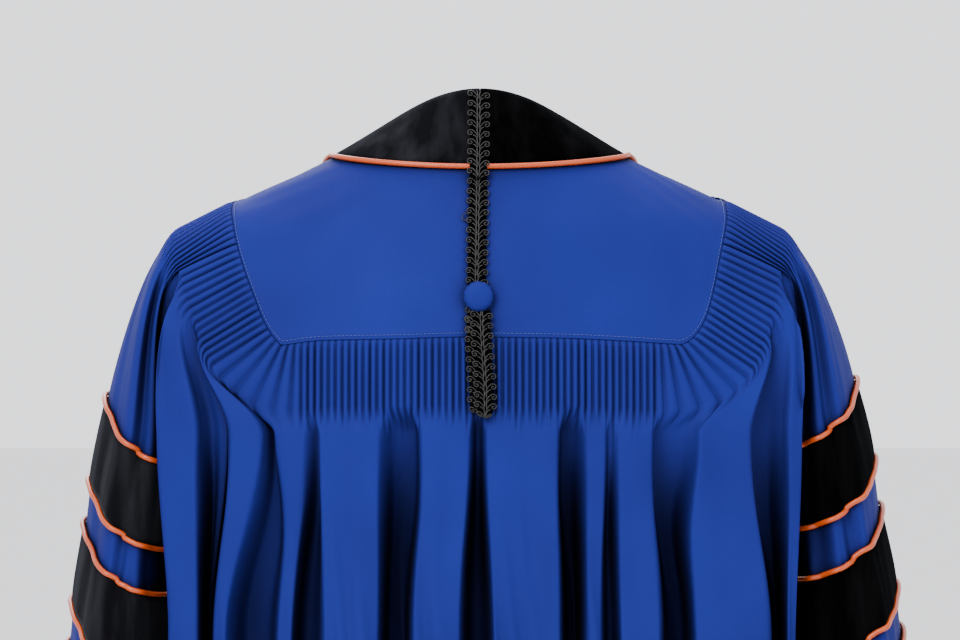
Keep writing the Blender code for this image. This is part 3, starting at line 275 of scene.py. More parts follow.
# Light
LIGHTS = (
    # name, place, target, size, power
    ("key", (1.4, 2.6, 1.5), (0, 0, -0.35), 1.6, 190.0),
    ("fill", (-2.2, 2.4, 0.3), (0, 0, -0.4), 2.2, 60.0),
    ("front", (0.6, -2.6, 1.3), (0, 0, -0.4), 1.8, 60.0),
    ("above", (0, -0.3, 2.4), (0, 0, 0), 1.6, 60.0),
)
WORLD_STRENGTH = 1.9

# Braid and button
BRAID_TOP = 15.5
BRAID_WIDTH = 16.5
BRAID_PITCH = 7.5
BRAID_ROUNDING = 9.0
STEM_RADIUS = 0.62
BRANCH_RADIUS = 0.50
STRAY_RADIUS = 0.35
BRAID_SCROLL = (
    # a branch from the stem to its scroll: across, up, out
    (0.7, -1.2, 1.5), (1.5, 0.8, 1.7), (3.0, 2.7, 1.6), (5.2, 4.2, 1.4), (7.3, 4.0, 1.2),
    (8.2, 2.4, 1.1), (7.5, 0.7, 1.2), (5.8, 0.4, 1.5), (4.8, 1.6, 1.7), (5.6, 2.6, 1.8),
    (6.5, 2.0, 1.6),
)
BRAID_LEAF = ((0.7, -3.4, 1.4), (1.6, -1.6, 1.5), (3.0, -0.2, 1.4), (4.2, 0.2, 1.1))
BRAID_STRAY = (
    # a cord that has come loose at the edge: across, out, height
    (8.0, 1.2, -79.5), (10.6, 1.6, -78.8), (13.0, 1.8, -80.4), (13.4, 1.7, -82.8),
    (11.4, 1.5, -84.2), (8.4, 1.2, -83.4),
)
BUTTON_HEIGHT = -141.5
BUTTON_RADIUS = 11.6
BUTTON_DEPTH = 8.0
BUTTON_SIDES = 96
BUTTON_PROFILE = (
    # share of radius, share of depth
    (0.0, 1.0), (0.2, 0.985), (0.4, 0.94), (0.6, 0.86), (0.75, 0.76), (0.86, 0.65),
    (0.94, 0.52), (0.985, 0.40), (1.0, 0.29), (0.985, 0.19), (0.93, 0.09), (0.84, 0.0),
)


# Small maths on numpy arrays

def hermite(start, lead, end, arrive, t):
    """A curve that leaves start along lead and comes in to end along arrive."""
    return (start * (2 * t**3 - 3 * t**2 + 1) + lead * (t**3 - 2 * t**2 + t)
            + end * (3 * t**2 - 2 * t**3) + arrive * (t**3 - t**2))


class Table:
    """A table's column as a smooth curve that doesn't overshoot its rows."""

    def __init__(self, rows, column=1):
        ordered = sorted(rows)
        self.x = np.array([row[0] for row in ordered], float)
        self.y = np.array([row[column] for row in ordered], float)
        step = np.diff(self.y) / np.diff(self.x)
        before, after = step[:-1], step[1:]
        same = before * after > 0
        total = np.where(same, before + after, 1.0)
        inner = np.where(same, 2 * before * after / total, 0.0)
        self.slope = np.concatenate([step[:1], inner, step[-1:]])

    def __call__(self, level):
        level = np.clip(np.asarray(level, float), self.x[0], self.x[-1])
        i = np.clip(np.searchsorted(self.x, level) - 1, 0, len(self.x) - 2)
        span = self.x[i + 1] - self.x[i]
        return hermite(self.y[i], span * self.slope[i], self.y[i + 1],
                       span * self.slope[i + 1], (level - self.x[i]) / span)


form_width, form_back, form_front = Table(FORM_WIDTH), Table(FORM_BACK), Table(FORM_FRONT)
back_depth, back_fold, back_spread, side_x = (Table(BACK_SHAPE, c) for c in (1, 2, 3, 4))
front_depth, front_fold = Table(FRONT_SHAPE, 1), Table(FRONT_SHAPE, 2)


def ease(t):
    t = np.clip(t, 0.0, 1.0)
    return t * t * (3 - 2 * t)


def mix(a, b, t):
    return a + (b - a) * t


def point(x, y, z):
    return np.stack(np.broadcast_arrays(x, y, z), axis=-1).astype(float)


def unit(v):
    return v / np.maximum(np.linalg.norm(v, axis=-1, keepdims=True), 1e-9)


def size_of(v):
    """Length of each vector."""
    return np.linalg.norm(v, axis=-1)


def travelled(line):
    """Distance along a line at each of its points."""
    return np.concatenate([[0], np.cumsum(size_of(np.diff(line, axis=0)))])


def columns_at(at, known, values):
    """Each column of values, known at some places, read at others."""
    return np.stack([np.interp(at, known, column) for column in values.T], axis=-1)


def bow(start, lead, end, arrive, t):
    t = np.asarray(t, float)[..., None] if np.ndim(t) else t
    return hermite(start, lead, end, arrive, t)


def smooth_line(points, count=400):
    """A smooth curve through points, with its ends' own directions, evenly spaced."""
    p = np.array(points, float)
    at = travelled(p)
    steps = np.linspace(0, at[-1], count)
    fine = np.stack([Table(list(zip(at, column)))(steps) for column in p.T], axis=1)
    at = travelled(fine)
    return columns_at(np.linspace(0, 1, count), at / at[-1], fine)


def sample(line, share):
    """Points at shares of the way along an evenly spaced line."""
    return columns_at(np.clip(share, 0, 1), np.linspace(0, 1, len(line)), line)


def soften(values, sigma):
    """Gaussian smoothing along the first axis, the ends held."""
    reach = int(max(1, round(sigma * 3)))
    weights = np.exp(-0.5 * (np.arange(-reach, reach + 1) / sigma) ** 2)
    weights /= weights.sum()
    padded = np.concatenate([2 * values[:1] - values[reach:0:-1], values,
                             2 * values[-1:] - values[-2:-reach - 2:-1]])
    return sum(w * padded[k:k + len(values)] for k, w in enumerate(weights))


def wander(x, seed, waves=5):
    """Smooth, repeatable irregularity between about -1 and 1."""
    rng = np.random.default_rng(seed)
    total = 0.0
    for _ in range(waves):
        total = total + np.sin(rng.uniform(0.5, 3.0) * x + rng.uniform(0, 6.3))
    return total / waves**0.5 / 1.2


def hump(turn, at, spread):
    """A smooth hump round the sleeve: 1 at a turn in degrees, 0 past its spread."""
    off = np.minimum(1, np.abs((turn - at + 180) % 360 - 180) / spread)
    return 0.5 + 0.5 * np.cos(np.pi * off)


def belly(share, power):
    """0 at both ends of a width and 1 in its middle, rounder for a smaller power."""
    return np.sin(np.pi * share) ** power


def to_side(places, side):
    """Places of the left side, mirrored where side is -1."""
    return places * np.array([side, 1, 1])


# Shoulder form

def form(turn, level):
    """Points of the form: turn in degrees, 0 at the wearer's left and 90 behind."""
    angle = np.radians(np.asarray(turn, float))
    level = np.asarray(level, float)
    sine = np.sin(angle)
    depth = np.where(sine > 0, form_back(level), form_front(level))
    rise = NECK_RISE * np.abs(sine) ** 2.6 * np.sign(sine)
    reach = np.maximum(0.0, 1 + level / NECK_RISE_REACH)
    return point(form_width(level) * np.cos(angle), depth * sine, level + rise * reach**2)


def back_point(x, z):
    share = np.maximum(0.0, 1 - (x / form_width(z)) ** 2)
    return point(x, form_back(z) * np.sqrt(share), z)


def front_point(x, z):
    share = np.maximum(0.0, 1 - (x / form_width(z)) ** 2)
    return point(x, -form_front(z) * np.sqrt(share), z)


# Yoke seam, as smooth lines in back view

LEFT_LINE = smooth_line(YOKE_LEFT)
RIGHT_LINE = smooth_line(YOKE_RIGHT)
BOTTOM_LINE = smooth_line((YOKE_LEFT[-1],) + YOKE_BOTTOM + (YOKE_RIGHT[-1],))


def below_join(line):
    """The part of a side seam that carries the back panel."""
    level = line[:, 1]
    first = np.argmax(level <= SLEEVE_JOIN_LEVEL)
    t = (SLEEVE_JOIN_LEVEL - level[first - 1]) / (level[first] - level[first - 1])
    start = mix(line[first - 1], line[first], t)
    return smooth_line(np.vstack([start, line[first:][::12], line[-1:]]))


LEFT_BACK = below_join(LEFT_LINE)
RIGHT_BACK = below_join(RIGHT_LINE)


def back_seam(flute):
    flute = np.asarray(flute, float)
    left = sample(LEFT_BACK, flute / LEFT_CORNER_FLUTE)
    span = RIGHT_CORNER_FLUTE - LEFT_CORNER_FLUTE
    bottom = sample(BOTTOM_LINE, (flute - LEFT_CORNER_FLUTE) / span)
    right = sample(RIGHT_BACK, (BACK_FLUTES - flute) / (BACK_FLUTES - RIGHT_CORNER_FLUTE))
    flat = np.where((flute < LEFT_CORNER_FLUTE)[..., None], left,
                    np.where((flute < RIGHT_CORNER_FLUTE)[..., None], bottom, right))
    return back_point(flat[..., 0], flat[..., 1])


def join_vector(line):
    """Length and slope, in degrees, of the flute that lies along the sleeve's join."""
    across, down = JOIN_RELEASE[0] - abs(line[0, 0]), line[0, 1] - JOIN_RELEASE[1]
    return math.hypot(across, down), math.degrees(math.atan2(down, across))


LEFT_JOIN, RIGHT_JOIN = join_vector(LEFT_BACK), join_vector(RIGHT_BACK)


def back_flute_slope(flute):
    """Each flute's slope in radians, and the side that it leans to."""
    slopes = []
    for side, edge, join in ((1, flute, LEFT_JOIN), (-1, BACK_FLUTES - flute, RIGHT_JOIN)):
        slope, reach, turn, start, spread = FLUTE_SLOPES[side]
        slopes.append(mix(join[1], slope, ease(edge / reach))
                      + turn * ease((edge - start) / spread))
    on_left = flute < BACK_FLUTES / 2
    return np.radians(np.where(on_left, *slopes)), np.where(on_left, 1.0, -1.0)


def back_release(flute):
    """Where each flute ends."""
    flute = np.asarray(flute, float)
    start = back_seam(flute)
    slope, side = back_flute_slope(flute)
    join = np.where(side > 0, LEFT_JOIN[0], RIGHT_JOIN[0])
    edge = np.minimum(flute, BACK_FLUTES - flute)
    length = mix(join, FLUTE_LENGTH, ease(edge / 6))
    return back_point(start[..., 0] + side * np.cos(slope) * length,
                      start[..., 2] - np.sin(slope) * length)


def falling(flute, forward):
    """Direction in which cloth falls: beside the armhole it turns to close the armhole below."""
    turn = ARMHOLE_ROUND * (1 - ease(flute / ARMHOLE_REACH))
    return unit(point(0.0, forward * turn, -1.0))


def fold_places(level):
    """Corners of the back's cloth at a level: flute, x and y."""
    depth, fold = back_depth(level), back_fold(level)
    spread, seam_x = back_spread(level), side_x(level)
    low = ease((FOLD_TOP - level) / (FOLD_TOP - FRAME_LEVEL))
    rows = np.array(BACK_FOLDS)
    x = mix(rows[:, 1], rows[:, 2], low) * spread
    share = mix(rows[:, 3], rows[:, 4], low)
    off = np.abs(x / (BACK_HALF_WIDTH * spread)) ** BACK_ROUNDNESS
    crest = depth * (1 - off) ** (1 / BACK_ROUNDNESS)
    (edge, past, edge_in), (inner, short, inner_in) = BACK_EDGE
    flute = np.concatenate([[0, edge, inner], rows[:, 0],
                            [BACK_FLUTES - inner, BACK_FLUTES - edge, BACK_FLUTES]])
    across = np.concatenate([[seam_x, seam_x + past, x[0] - short], x,
                             [x[-1] + short, -seam_x - past, -seam_x]])
    behind = np.concatenate([
        [SIDE_SEAM_Y, crest[0] - edge_in * fold, crest[0] - inner_in * fold],
        crest - share * fold,
        [crest[-1] - inner_in * fold, crest[-1] - edge_in * fold, SIDE_SEAM_Y]])
    return flute, across, behind


FINE_FLUTES = np.linspace(0, BACK_FLUTES, BACK_FLUTES * FINE + 1)


def back_folds(flute, level):
    """Places of the back's cloth at a level, the folds' corners rounded."""
    marks, across, behind = fold_places(level)
    flat = columns_at(FINE_FLUTES, marks, np.stack([across, behind], axis=1))
    x, y = columns_at(flute, FINE_FLUTES, soften(flat, FOLD_SOFTNESS * FINE)).T
    low = ease((FOLD_TOP - level) / 200)
    inside = ease(flute / 3) * ease((BACK_FLUTES - flute) / 3)
    x = x + low * inside * 2.0 * wander(flute * 0.25 + level * 0.008, 5)
    y = y + low * inside * 1.8 * wander(flute * 0.7 + level * 0.014, 6)
    return point(x, y, level)


def back_columns(count):
    """Flute numbers of columns, closer where a fold's walls take up much cloth."""
    fine = np.linspace(0, BACK_FLUTES, 6001)
    row = back_folds(fine, FRAME_LEVEL)
    length = travelled(row)
    share = 0.3 * length / length[-1] + 0.7 * fine / BACK_FLUTES
    return np.interp(np.linspace(0, 1, count), share, fine)


def rib(flute):
    """Profile of a flute: round on top, with a narrow valley at each whole number."""
    return np.abs(np.sin(np.pi * flute)) ** 0.6


def raise_flutes(base, shares, flute, seed, middle=None):
    """Lifts ribs from a cloth grid: shares is each row's share of the flutes' height."""
    normals = normals_of(base, False, middle or body_middle)
    drift = 0.10 * wander(flute * 2.3, seed) + 0.05 * wander(flute * 6.1, seed + 1)
    out = []
    for k, (row, normal, share) in enumerate(zip(base, normals, shares)):
        shape = rib(flute + drift * 0.5 * k / len(base))
        out.append(row + normal * (shape * share * FLUTE_HEIGHT)[:, None])
    return np.array(out)


def pockets(flute, sigma):
    """How far into a valley between folds each flute hangs, from 0 to 1, softened."""
    rows = np.array(BACK_FOLDS)
    share = np.interp(FINE_FLUTES, rows[:, 0], rows[:, 4], left=0, right=0)
    return np.interp(flute, FINE_FLUTES, soften(share, sigma * FINE))


def narrowed(soft, share, opened):
    """A pocket that starts as a point between two folds and opens to its whole width."""
    shut = POCKET_SHUT * (1 - opened)
    return mix(np.clip((soft - shut) / (1 - shut), 0, 1), share, opened)


def fold_row(flute, level, release, middle, share, soft, broad):
    """A row of the hanging folds: rounded on top, opening from points below the flutes."""
    folded = back_folds(flute, level)
    open_share = mix(FIRST_OPENING, 1.0, ease((FOLD_TOP - level) / WHOLE_OPENING_DROP))
    off = np.minimum(0.98, np.abs(release[:, 0] / BACK_HALF_WIDTH) ** BACK_ROUNDNESS)
    crest = back_depth(level) * (1 - off) ** (1 / BACK_ROUNDNESS)
    plain = point(release[:, 0], crest, level)
    row = mix(plain, folded, (1 - (1 - open_share) * middle)[:, None])
    row[:, 1] += CROWN * middle * (0.4 - broad) * ease((FOLD_TOP + 20 - level) / 60)
    deep = 1 - ease((FOLD_TOP - level) / POCKET_DROP)
    return row, narrowed(soft, share, open_share) * deep


def near_seam(flute, t):
    """Share of each flute's height in a row near its seam."""
    return np.full(len(flute), FLUTE_AT_SEAM + (1 - FLUTE_AT_SEAM) * min(1.0, t) ** 0.5)


def back_rows(flute):
    """Every row of the back panel, from the yoke seam to the hem, and the flutes' height."""
    seam = back_seam(flute)
    uneven = 5.0 * wander(flute * 0.9, 11) + 2.5 * wander(flute * 4.0, 12)
    release = back_release(flute)
    side_slope, side = back_flute_slope(flute)
    edge = np.minimum(flute, BACK_FLUTES - flute)
    slope = mix(math.radians(ARMHOLE_SLOPE), side_slope, ease(edge / ARMHOLE_REACH))
    share, soft, broad = (pockets(flute, sigma) for sigma in (0.2, 0.8, 1.6))
    middle = ease((flute - 13) / 5) * ease((77 - flute) / 5)
    inward = -unit(release * np.array([1.0, 1.0, 0.0]))
    top, _ = fold_row(flute, FOLD_TOP, release, middle, share, soft, broad)
    reach = size_of(top - release)[:, None]
    lead = point(side * np.cos(slope), 0.1, -np.sin(slope)) * reach * 0.8
    arrive = falling(edge, -1) * reach
    rows, shares = [], []
    for t in (0.0, 0.03, 0.10, 0.25, 0.45, 0.65, 0.85, 1.0):
        straight = mix(seam, release, t)
        on_form = back_point(straight[:, 0], straight[:, 2])
        rows.append(mix(straight, on_form, ease(edge / 0.9)[:, None]))
        shares.append(near_seam(flute, t * 8))
    for k in range(1, 15):
        t = (k / 14) ** 1.2
        opened = FIRST_OPENING * ease(t)
        begun = ease(t * reach[:, 0] / POCKET_START)
        hollow = narrowed(soft, share, opened) * POCKET_DEPTH * begun
        rows.append(bow(release, lead, top, arrive, t) + inward * hollow[:, None])
        gone = t * reach[:, 0] / np.maximum(9.0, POCKET_START + uneven)
        shares.append(1 - ease(gone))
    levels = np.concatenate([np.linspace(FOLD_TOP, FRAME_LEVEL - 20, 15)[1:],
                             np.linspace(FRAME_LEVEL - 20, HEM, 12)[1:]])
    for level in levels:
        row, hollow = fold_row(flute, level, release, middle, share, soft, broad)
        rows.append(row + inward * (hollow * POCKET_DEPTH)[:, None])
        shares.append(np.zeros(len(flute)))
    return np.array(rows), shares


# Meshes from grids

def add_object(name, data):
    made = bpy.data.objects.new(name, data)
    bpy.context.scene.collection.objects.link(made)
    return made


def body_middle(places):
    return point(0.0, 0.0, places[..., 2] - 50)


def cloth_object(name, grids, wall=0.0, middle=body_middle):
    """A cloth wall from one or more grids of points in mm that meet edge to edge.

    Each grid is (rows, closed). Faces turn away from the hollow's middle line, and the map
    runs in metres of cloth, across and down.
    """
    points, faces, maps = [], [], []
    total = 0.0
    used = 0
    for grid, closed in grids:
        grid = np.asarray(grid, float)
        rows, columns = grid.shape[:2]
        index = np.arange(rows * columns).reshape(rows, columns) + used
        used += rows * columns
        points.append(grid.reshape(-1, 3))
        if closed:
            index = np.concatenate([index, index[:, :1]], axis=1)
            grid = np.concatenate([grid, grid[:, :1]], axis=1)
        corners = cells_of(grid)
        normals = np.cross(corners[:, :, 1] - corners[:, :, 0],
                           corners[:, :, 3] - corners[:, :, 0])
        centre = corners.mean(axis=2)
        total += (normals * (centre - middle(centre))).sum()
        faces.append(cells_of(index[..., None])[..., 0].reshape(-1, 4))
        widths = size_of(np.diff(grid, axis=1)).mean(axis=0).cumsum()
        heights = size_of(np.diff(grid, axis=0)).mean(axis=1).cumsum()
        across, down = np.meshgrid(np.append(0, widths), np.append(0, -heights))
        flat = np.stack([across, down], axis=-1) * MM
        maps.append(cells_of(flat).reshape(-1, 4, 2))
    faces, maps = np.concatenate(faces), np.concatenate(maps)
    if total < 0:
        faces, maps = faces[:, ::-1], maps[:, ::-1]
    mesh = bpy.data.meshes.new(name)
    mesh.from_pydata((np.concatenate(points) * MM).tolist(), [], faces.tolist())
    layer = mesh.uv_layers.new(name="cloth")
    layer.data.foreach_set("uv", maps.reshape(-1).astype(np.float32))
    if len(grids) > 1:
        joined = bmesh.new()
        joined.from_mesh(mesh)
        bmesh.ops.remove_doubles(joined, verts=joined.verts, dist=0.02 * MM)
        joined.to_mesh(mesh)
        joined.free()
    mesh.shade_smooth()
    made = add_object(name, mesh)
    if wall:
        shell = made.modifiers.new("Wall", "SOLIDIFY")
        shell.thickness = wall * MM
        shell.offset = -1
    return made


def cells_of(grid):
    """The four corners of each cell of a grid."""
    return np.stack([grid[:-1, :-1], grid[:-1, 1:], grid[1:, 1:], grid[1:, :-1]], axis=2)


def normals_of(grid, closed=False, middle=body_middle):
    grid = np.asarray(grid, float)
    down = np.gradient(grid, axis=0)
    if closed:
        across = (np.roll(grid, -1, axis=1) - np.roll(grid, 1, axis=1)) / 2
    else:
        across = np.gradient(grid, axis=1)
    normal = unit(np.cross(across, down))
    facing = np.sign((normal * (grid - middle(grid))).sum(axis=-1, keepdims=True))
    return normal * facing


def tube_faces(rings, sides, closed=False):
    """Faces round rings of points, with a flat cap at each end unless the tube is closed."""
    faces = []
    for k in range(rings if closed else rings - 1):
        a, b = k * sides, (k + 1) % rings * sides
        for s in range(sides):
            t = (s + 1) % sides
            faces.append((a + s, a + t, b + t, b + s))
    if not closed:
        faces.append(tuple(range(sides - 1, -1, -1)))
        faces.append(tuple(range((rings - 1) * sides, rings * sides)))
    return faces


def cord_mesh(line, radius, closed=False, sides=12, flat_to=(0.13, 0.97, 0.21)):
    """Points and faces of a cord through points in mm; flat_to sets where its sides start."""
    line = np.asarray(line, float)
    if closed:
        along = unit(np.roll(line, -1, axis=0) - np.roll(line, 1, axis=0))
    else:
        along = unit(np.gradient(line, axis=0))
    first = unit(np.cross(along, np.array(flat_to, float)))
    second = np.cross(along, first)
    turn = np.linspace(0, 2 * np.pi, sides, endpoint=False)[None, :, None]
    around = np.cos(turn) * first[:, None] + np.sin(turn) * second[:, None]
    rings = line[:, None] + radius * around
    return rings.reshape(-1, 3), tube_faces(len(line), sides, closed)


def mesh_object(name, parts):
    """One object from several (points in mm, faces) pairs, its faces turned out."""
    points, faces, used = [], [], 0
    for places, polygons in parts:
        points.append(places)
        faces += [tuple(corner + used for corner in polygon) for polygon in polygons]
        used += len(places)
    mesh = bpy.data.meshes.new(name)
    mesh.from_pydata((np.concatenate(points) * MM).tolist(), [], faces)
    turned = bmesh.new()
    turned.from_mesh(mesh)
    bmesh.ops.recalc_face_normals(turned, faces=turned.faces)
    turned.to_mesh(mesh)
    turned.free()
    mesh.shade_smooth()
    return add_object(name, mesh)


def cord_object(name, line, radius, closed=False, sides=12):
    return mesh_object(name, [cord_mesh(line, radius, closed, sides)])


# Yoke and neck band

def seam_table():
    """Turn and level along the yoke's seam behind, from the left crest to the right one."""
    line = np.vstack([LEFT_LINE, BOTTOM_LINE[1:], RIGHT_LINE[::-1][1:]])
    place = back_point(line[:, 0], line[:, 1])
    turn = np.degrees(np.arctan2(place[:, 1] / form_back(place[:, 2]),
                                 place[:, 0] / form_width(place[:, 2])))
    turn = np.maximum.accumulate(turn)
    turn[0], turn[-1] = 0.0, 180.0
    return turn + np.linspace(0, 1e-6, len(turn)), line[:, 1]


SEAM_TURN, SEAM_LEVEL = seam_table()


def seam_level(turn):
    turn = np.asarray(turn, float)
    behind = np.interp(turn, SEAM_TURN, SEAM_LEVEL)
    past = np.where(turn < 0, -turn, turn - 180) / -FRONT_SEAM_ANGLE
    crest = np.where(turn < 90, YOKE_LEFT[0][1], YOKE_RIGHT[0][1])
    ahead = mix(crest, FRONT_CORNER_LEVEL, np.clip(past, 0, 1))
    return np.where((turn < 0) | (turn > 180), ahead, behind)


def band_edge(turn):
    """Level of the neck band's outer edge."""
    sine = np.sin(np.radians(turn))
    behind = mix(BAND_EDGE_CREST, BAND_EDGE_BACK, np.maximum(sine, 0) ** 1.5)
    past = sine / math.sin(math.radians(FRONT_SEAM_ANGLE))
    return np.where(sine >= 0, behind, mix(BAND_EDGE_CREST, FACING_EDGE_LEVEL, past))


def yoke_turns(count):
    return np.linspace(FRONT_SEAM_ANGLE, 180 - FRONT_SEAM_ANGLE, count)


def yoke_line(turns, share):
    """A line round the yoke: 0 at the neck band's edge, 1 at the seam."""
    return form(turns, mix(band_edge(turns), seam_level(turns), share))


def yoke_part(turns, shares):
    """Rows of the yoke from the band's edge to the seam, with soft, shallow wrinkles."""
    rows = np.array([yoke_line(turns, s) for s in shares])
    normals = normals_of(rows)
    for k, share in enumerate(shares):
        middle = math.sin(math.pi * min(1.0, max(0.0, share)))
        soft = 0.7 * wander(turns * 0.06 + share * 2.0, 31)
        soft = soft + 0.35 * wander(turns * 0.20 + share * 3.5, 32)
        rows[k] += normals[k] * (soft * middle)[:, None]
    return rows, normals


def build_yoke():
    """The plain yoke, its edge folded under, with cloth below the neck band too."""
    turns = yoke_turns(YOKE_COLUMNS)
    under = np.array([form(turns, band_edge(turns) * s) for s in np.linspace(0, 0.97, 7)])
    shares = np.concatenate([np.linspace(0, 0.93, 24), [0.955, 0.975, 0.988, 0.996, 1.0]])
    rows, normals = yoke_part(turns, shares)
    for k, share in enumerate(shares):
        rows[k] += normals[k] * YOKE_EDGE_RISE * float(ease((share - 0.94) / 0.035))
    past = (rows[-1] - rows[-3]) * 0.05
    rolled = rows[-1] + past - normals[-1] * YOKE_EDGE_TURN
    sunk = rolled - past - normals[-1] * YOKE_EDGE_SINK
    grid = np.concatenate([under, rows, rolled[None], sunk[None]])
    return cloth_object("yoke_cloth", [(grid, False)], CLOTH)


def build_topstitching():
    """Short stitches of thread along the yoke's edge."""
    turns = yoke_turns(1600)
    inner, line = yoke_line(turns, 0.95), yoke_line(turns, STITCH_LINE)
    normals = normals_of(np.array([inner, line]))[1]
    line = line + normals * STITCH_LIFT
    along = travelled(line)
    parts = []
    start = 3.0
    while start + STITCH_LENGTH < along[-1] - 3:
        at = start + STITCH_LENGTH * np.array([0.0, 0.25, 0.75, 1.0])
        sunk = columns_at(at, along, normals) * np.array([STITCH_SINK, 0, 0, STITCH_SINK])[:, None]
        parts.append(cord_mesh(columns_at(at, along, line) - sunk, THREAD_RADIUS, sides=5))
        start += STITCH_LENGTH + STITCH_GAP
    return mesh_object("yoke_topstitching", parts)


def beside_edge(edge, beyond, normal):
    """Middle of a piping that lies just past an edge of velvet, on the side of beyond."""
    return (edge + unit(beyond - edge) * (PIPING_RADIUS + LAY_GAP)
            + normal * (2 * LAY_GAP + PIPING_RADIUS))


def band_grid():
    """The neck band's rows on the form with their normals, and a line just past its edge."""
    turns = yoke_turns(301)
    shares = np.linspace(0, 1, 14)
    grid = np.array([form(turns, band_edge(turns) * s) for s in shares])
    further = yoke_line(turns, 0.1)
    return turns, shares, grid, normals_of(np.concatenate([grid, further[None]]))[:-1], further


def build_neck_bands():
    """Both halves of the band, with a narrow gap between them at the centre back."""
    turns, shares, grid, normals, _ = band_grid()
    puff = LAY_GAP + VELVET + 0.5 * belly(shares, 0.6)[:, None]
    puff = puff + 0.25 * wander(turns * 0.10, 41) * belly(shares, 1)[:, None]
    grid = grid + normals * puff[..., None]
    inward = -normals[0] * VELVET - np.array([0, 0, 0.6])
    grid = np.concatenate([(grid[0] + inward)[None], grid])
    half = grid.shape[1] // 2
    made = []
    for side, part, edge, near in ((1, slice(0, half + 1), -1, -2), (-1, slice(half, None), 0, 1)):
        rows = grid[:, part].copy()
        rows[:, edge] += unit(rows[:, near] - rows[:, edge]) * 0.4
        made.append(cloth_object(f"neck_band_{SIDES[side]}_velvet", [(rows, False)], VELVET_WALL))
    return made


def build_neck_piping():
    _, _, grid, normals, further = band_grid()
    line = beside_edge(grid[-1], further, normals[-1])
    return cord_object("neck_piping", line, PIPING_RADIUS, sides=14)


# Back panel

def build_back():
    flute = back_columns(BACK_COLUMNS)
    base, shares = back_rows(flute)
    grid = raise_flutes(base, shares, flute, 51)
    return cloth_object("back_cloth", [(grid, False)], CLOTH)


# Sleeves

def join_turn(side):
    """Turn, from the outer side, of the place where yoke, sleeve and back panel meet."""
    x, z = LEFT_BACK[0] if side > 0 else RIGHT_BACK[0]
    return math.degrees(math.acos(side * x / form_width(z)))


def sleeve_head(side, flute):
    """Seam and end of the sleeve head's flutes: flute 0 behind, the last in front."""
    own = join_turn(side)
    back = own * (1 - flute / SLEEVE_FLUTES_BACK)
    ahead = FRONT_SEAM_ANGLE * (flute - SLEEVE_FLUTES_BACK) / SLEEVE_FLUTES_FRONT
    turn = np.where(flute < SLEEVE_FLUTES_BACK, back, ahead)
    full = turn if side > 0 else 180 - turn
    seam = form(full, seam_level(full))
    behind = back_point(side * JOIN_RELEASE[0], JOIN_RELEASE[1])
    before = to_side(front_release(0.0), side)
    share = np.where(turn >= 0, turn / own, turn / FRONT_SEAM_ANGLE)
    end = np.where((turn >= 0)[:, None], behind, before)
    release = point(mix(side * SLEEVE_CREST[0], end[:, 0], share**2),
                    end[:, 1] * np.sin(share * np.pi / 2),
                    mix(SLEEVE_CREST[1], end[:, 2], share**2))
    return seam, release


SLEEVE_TABLES = {
    side: [Table([(k,) + row for k, row in enumerate(SLEEVE[side])], c) for c in range(1, 6)]
    for side in SIDES
}


def sleeve_crease(side, ring, turn):
    """Height of the smaller folds that hang from the sleeve's flutes."""
    return sum(size * ease(ring - start) * hump(turn, at + lean * ring, spread)
               for at, lean, spread, start, size in SLEEVE_CREASES[side])


def even_flutes(side, flute):
    """Flute numbers moved so that each flute takes the same length of the seam."""
    out = np.array(flute, float)
    for first, final in ((0, SLEEVE_FLUTES_BACK), (SLEEVE_FLUTES_BACK, SLEEVE_FLUTES)):
        fine = np.linspace(first, final, 200)
        at = travelled(sleeve_head(side, fine)[0])
        inside = (flute >= first) & (flute <= final)
        out[inside] = np.interp(flute[inside], at / at[-1] * (final - first) + first, fine)
    return out


def ring_places(side, ring, turn):
    """Places on the sleeve: turn 0 at the outer side, 90 behind, 180 at the body."""
    height, outer, inner, half_depth, middle_y = (t(ring) for t in SLEEVE_TABLES[side])
    across, along_y = np.cos(np.radians(turn)), np.sin(np.radians(turn))
    fold = sleeve_crease(side, ring, turn)
    for at, spread, first, final in SLEEVE_FOLDS[side]:
        fold = fold + mix(first, final, ring / LAST_RING) * hump(turn, at, spread)
    drop = SLEEVE_INNER_DROP * (1 - (0.5 + 0.5 * across) ** SLEEVE_DROP_CURVE)
    return point(side * ((outer + inner) / 2 + ((outer - inner) / 2 + fold * 0.5) * across),
                 middle_y + (half_depth + fold) * along_y, height - drop)


def sleeve_middle(side):
    def middle(places):
        return point(side * 262.0, -40.0, np.minimum(-150.0, places[..., 2] + 10))
    return middle


def armhole(side, share, behind):
    """The armhole's edge, from the flutes' ends to under the arm."""
    end = point(side * side_x(FOLD_TOP), SIDE_SEAM_Y, FOLD_TOP)
    if behind:
        start, slope, tilt = back_point(side * JOIN_RELEASE[0], JOIN_RELEASE[1]), ARMHOLE_SLOPE, 0.1
    else:
        start, slope, tilt = to_side(front_release(0.0), side), ARMHOLE_FRONT_SLOPE, -0.1
    slope = math.radians(slope)
    reach = size_of(end - start)
    lead = np.array([side * math.cos(slope), tilt, -math.sin(slope)]) * reach * 0.8
    return bow(start, lead, end, falling(0.0, -1 if behind else 1) * reach, share)


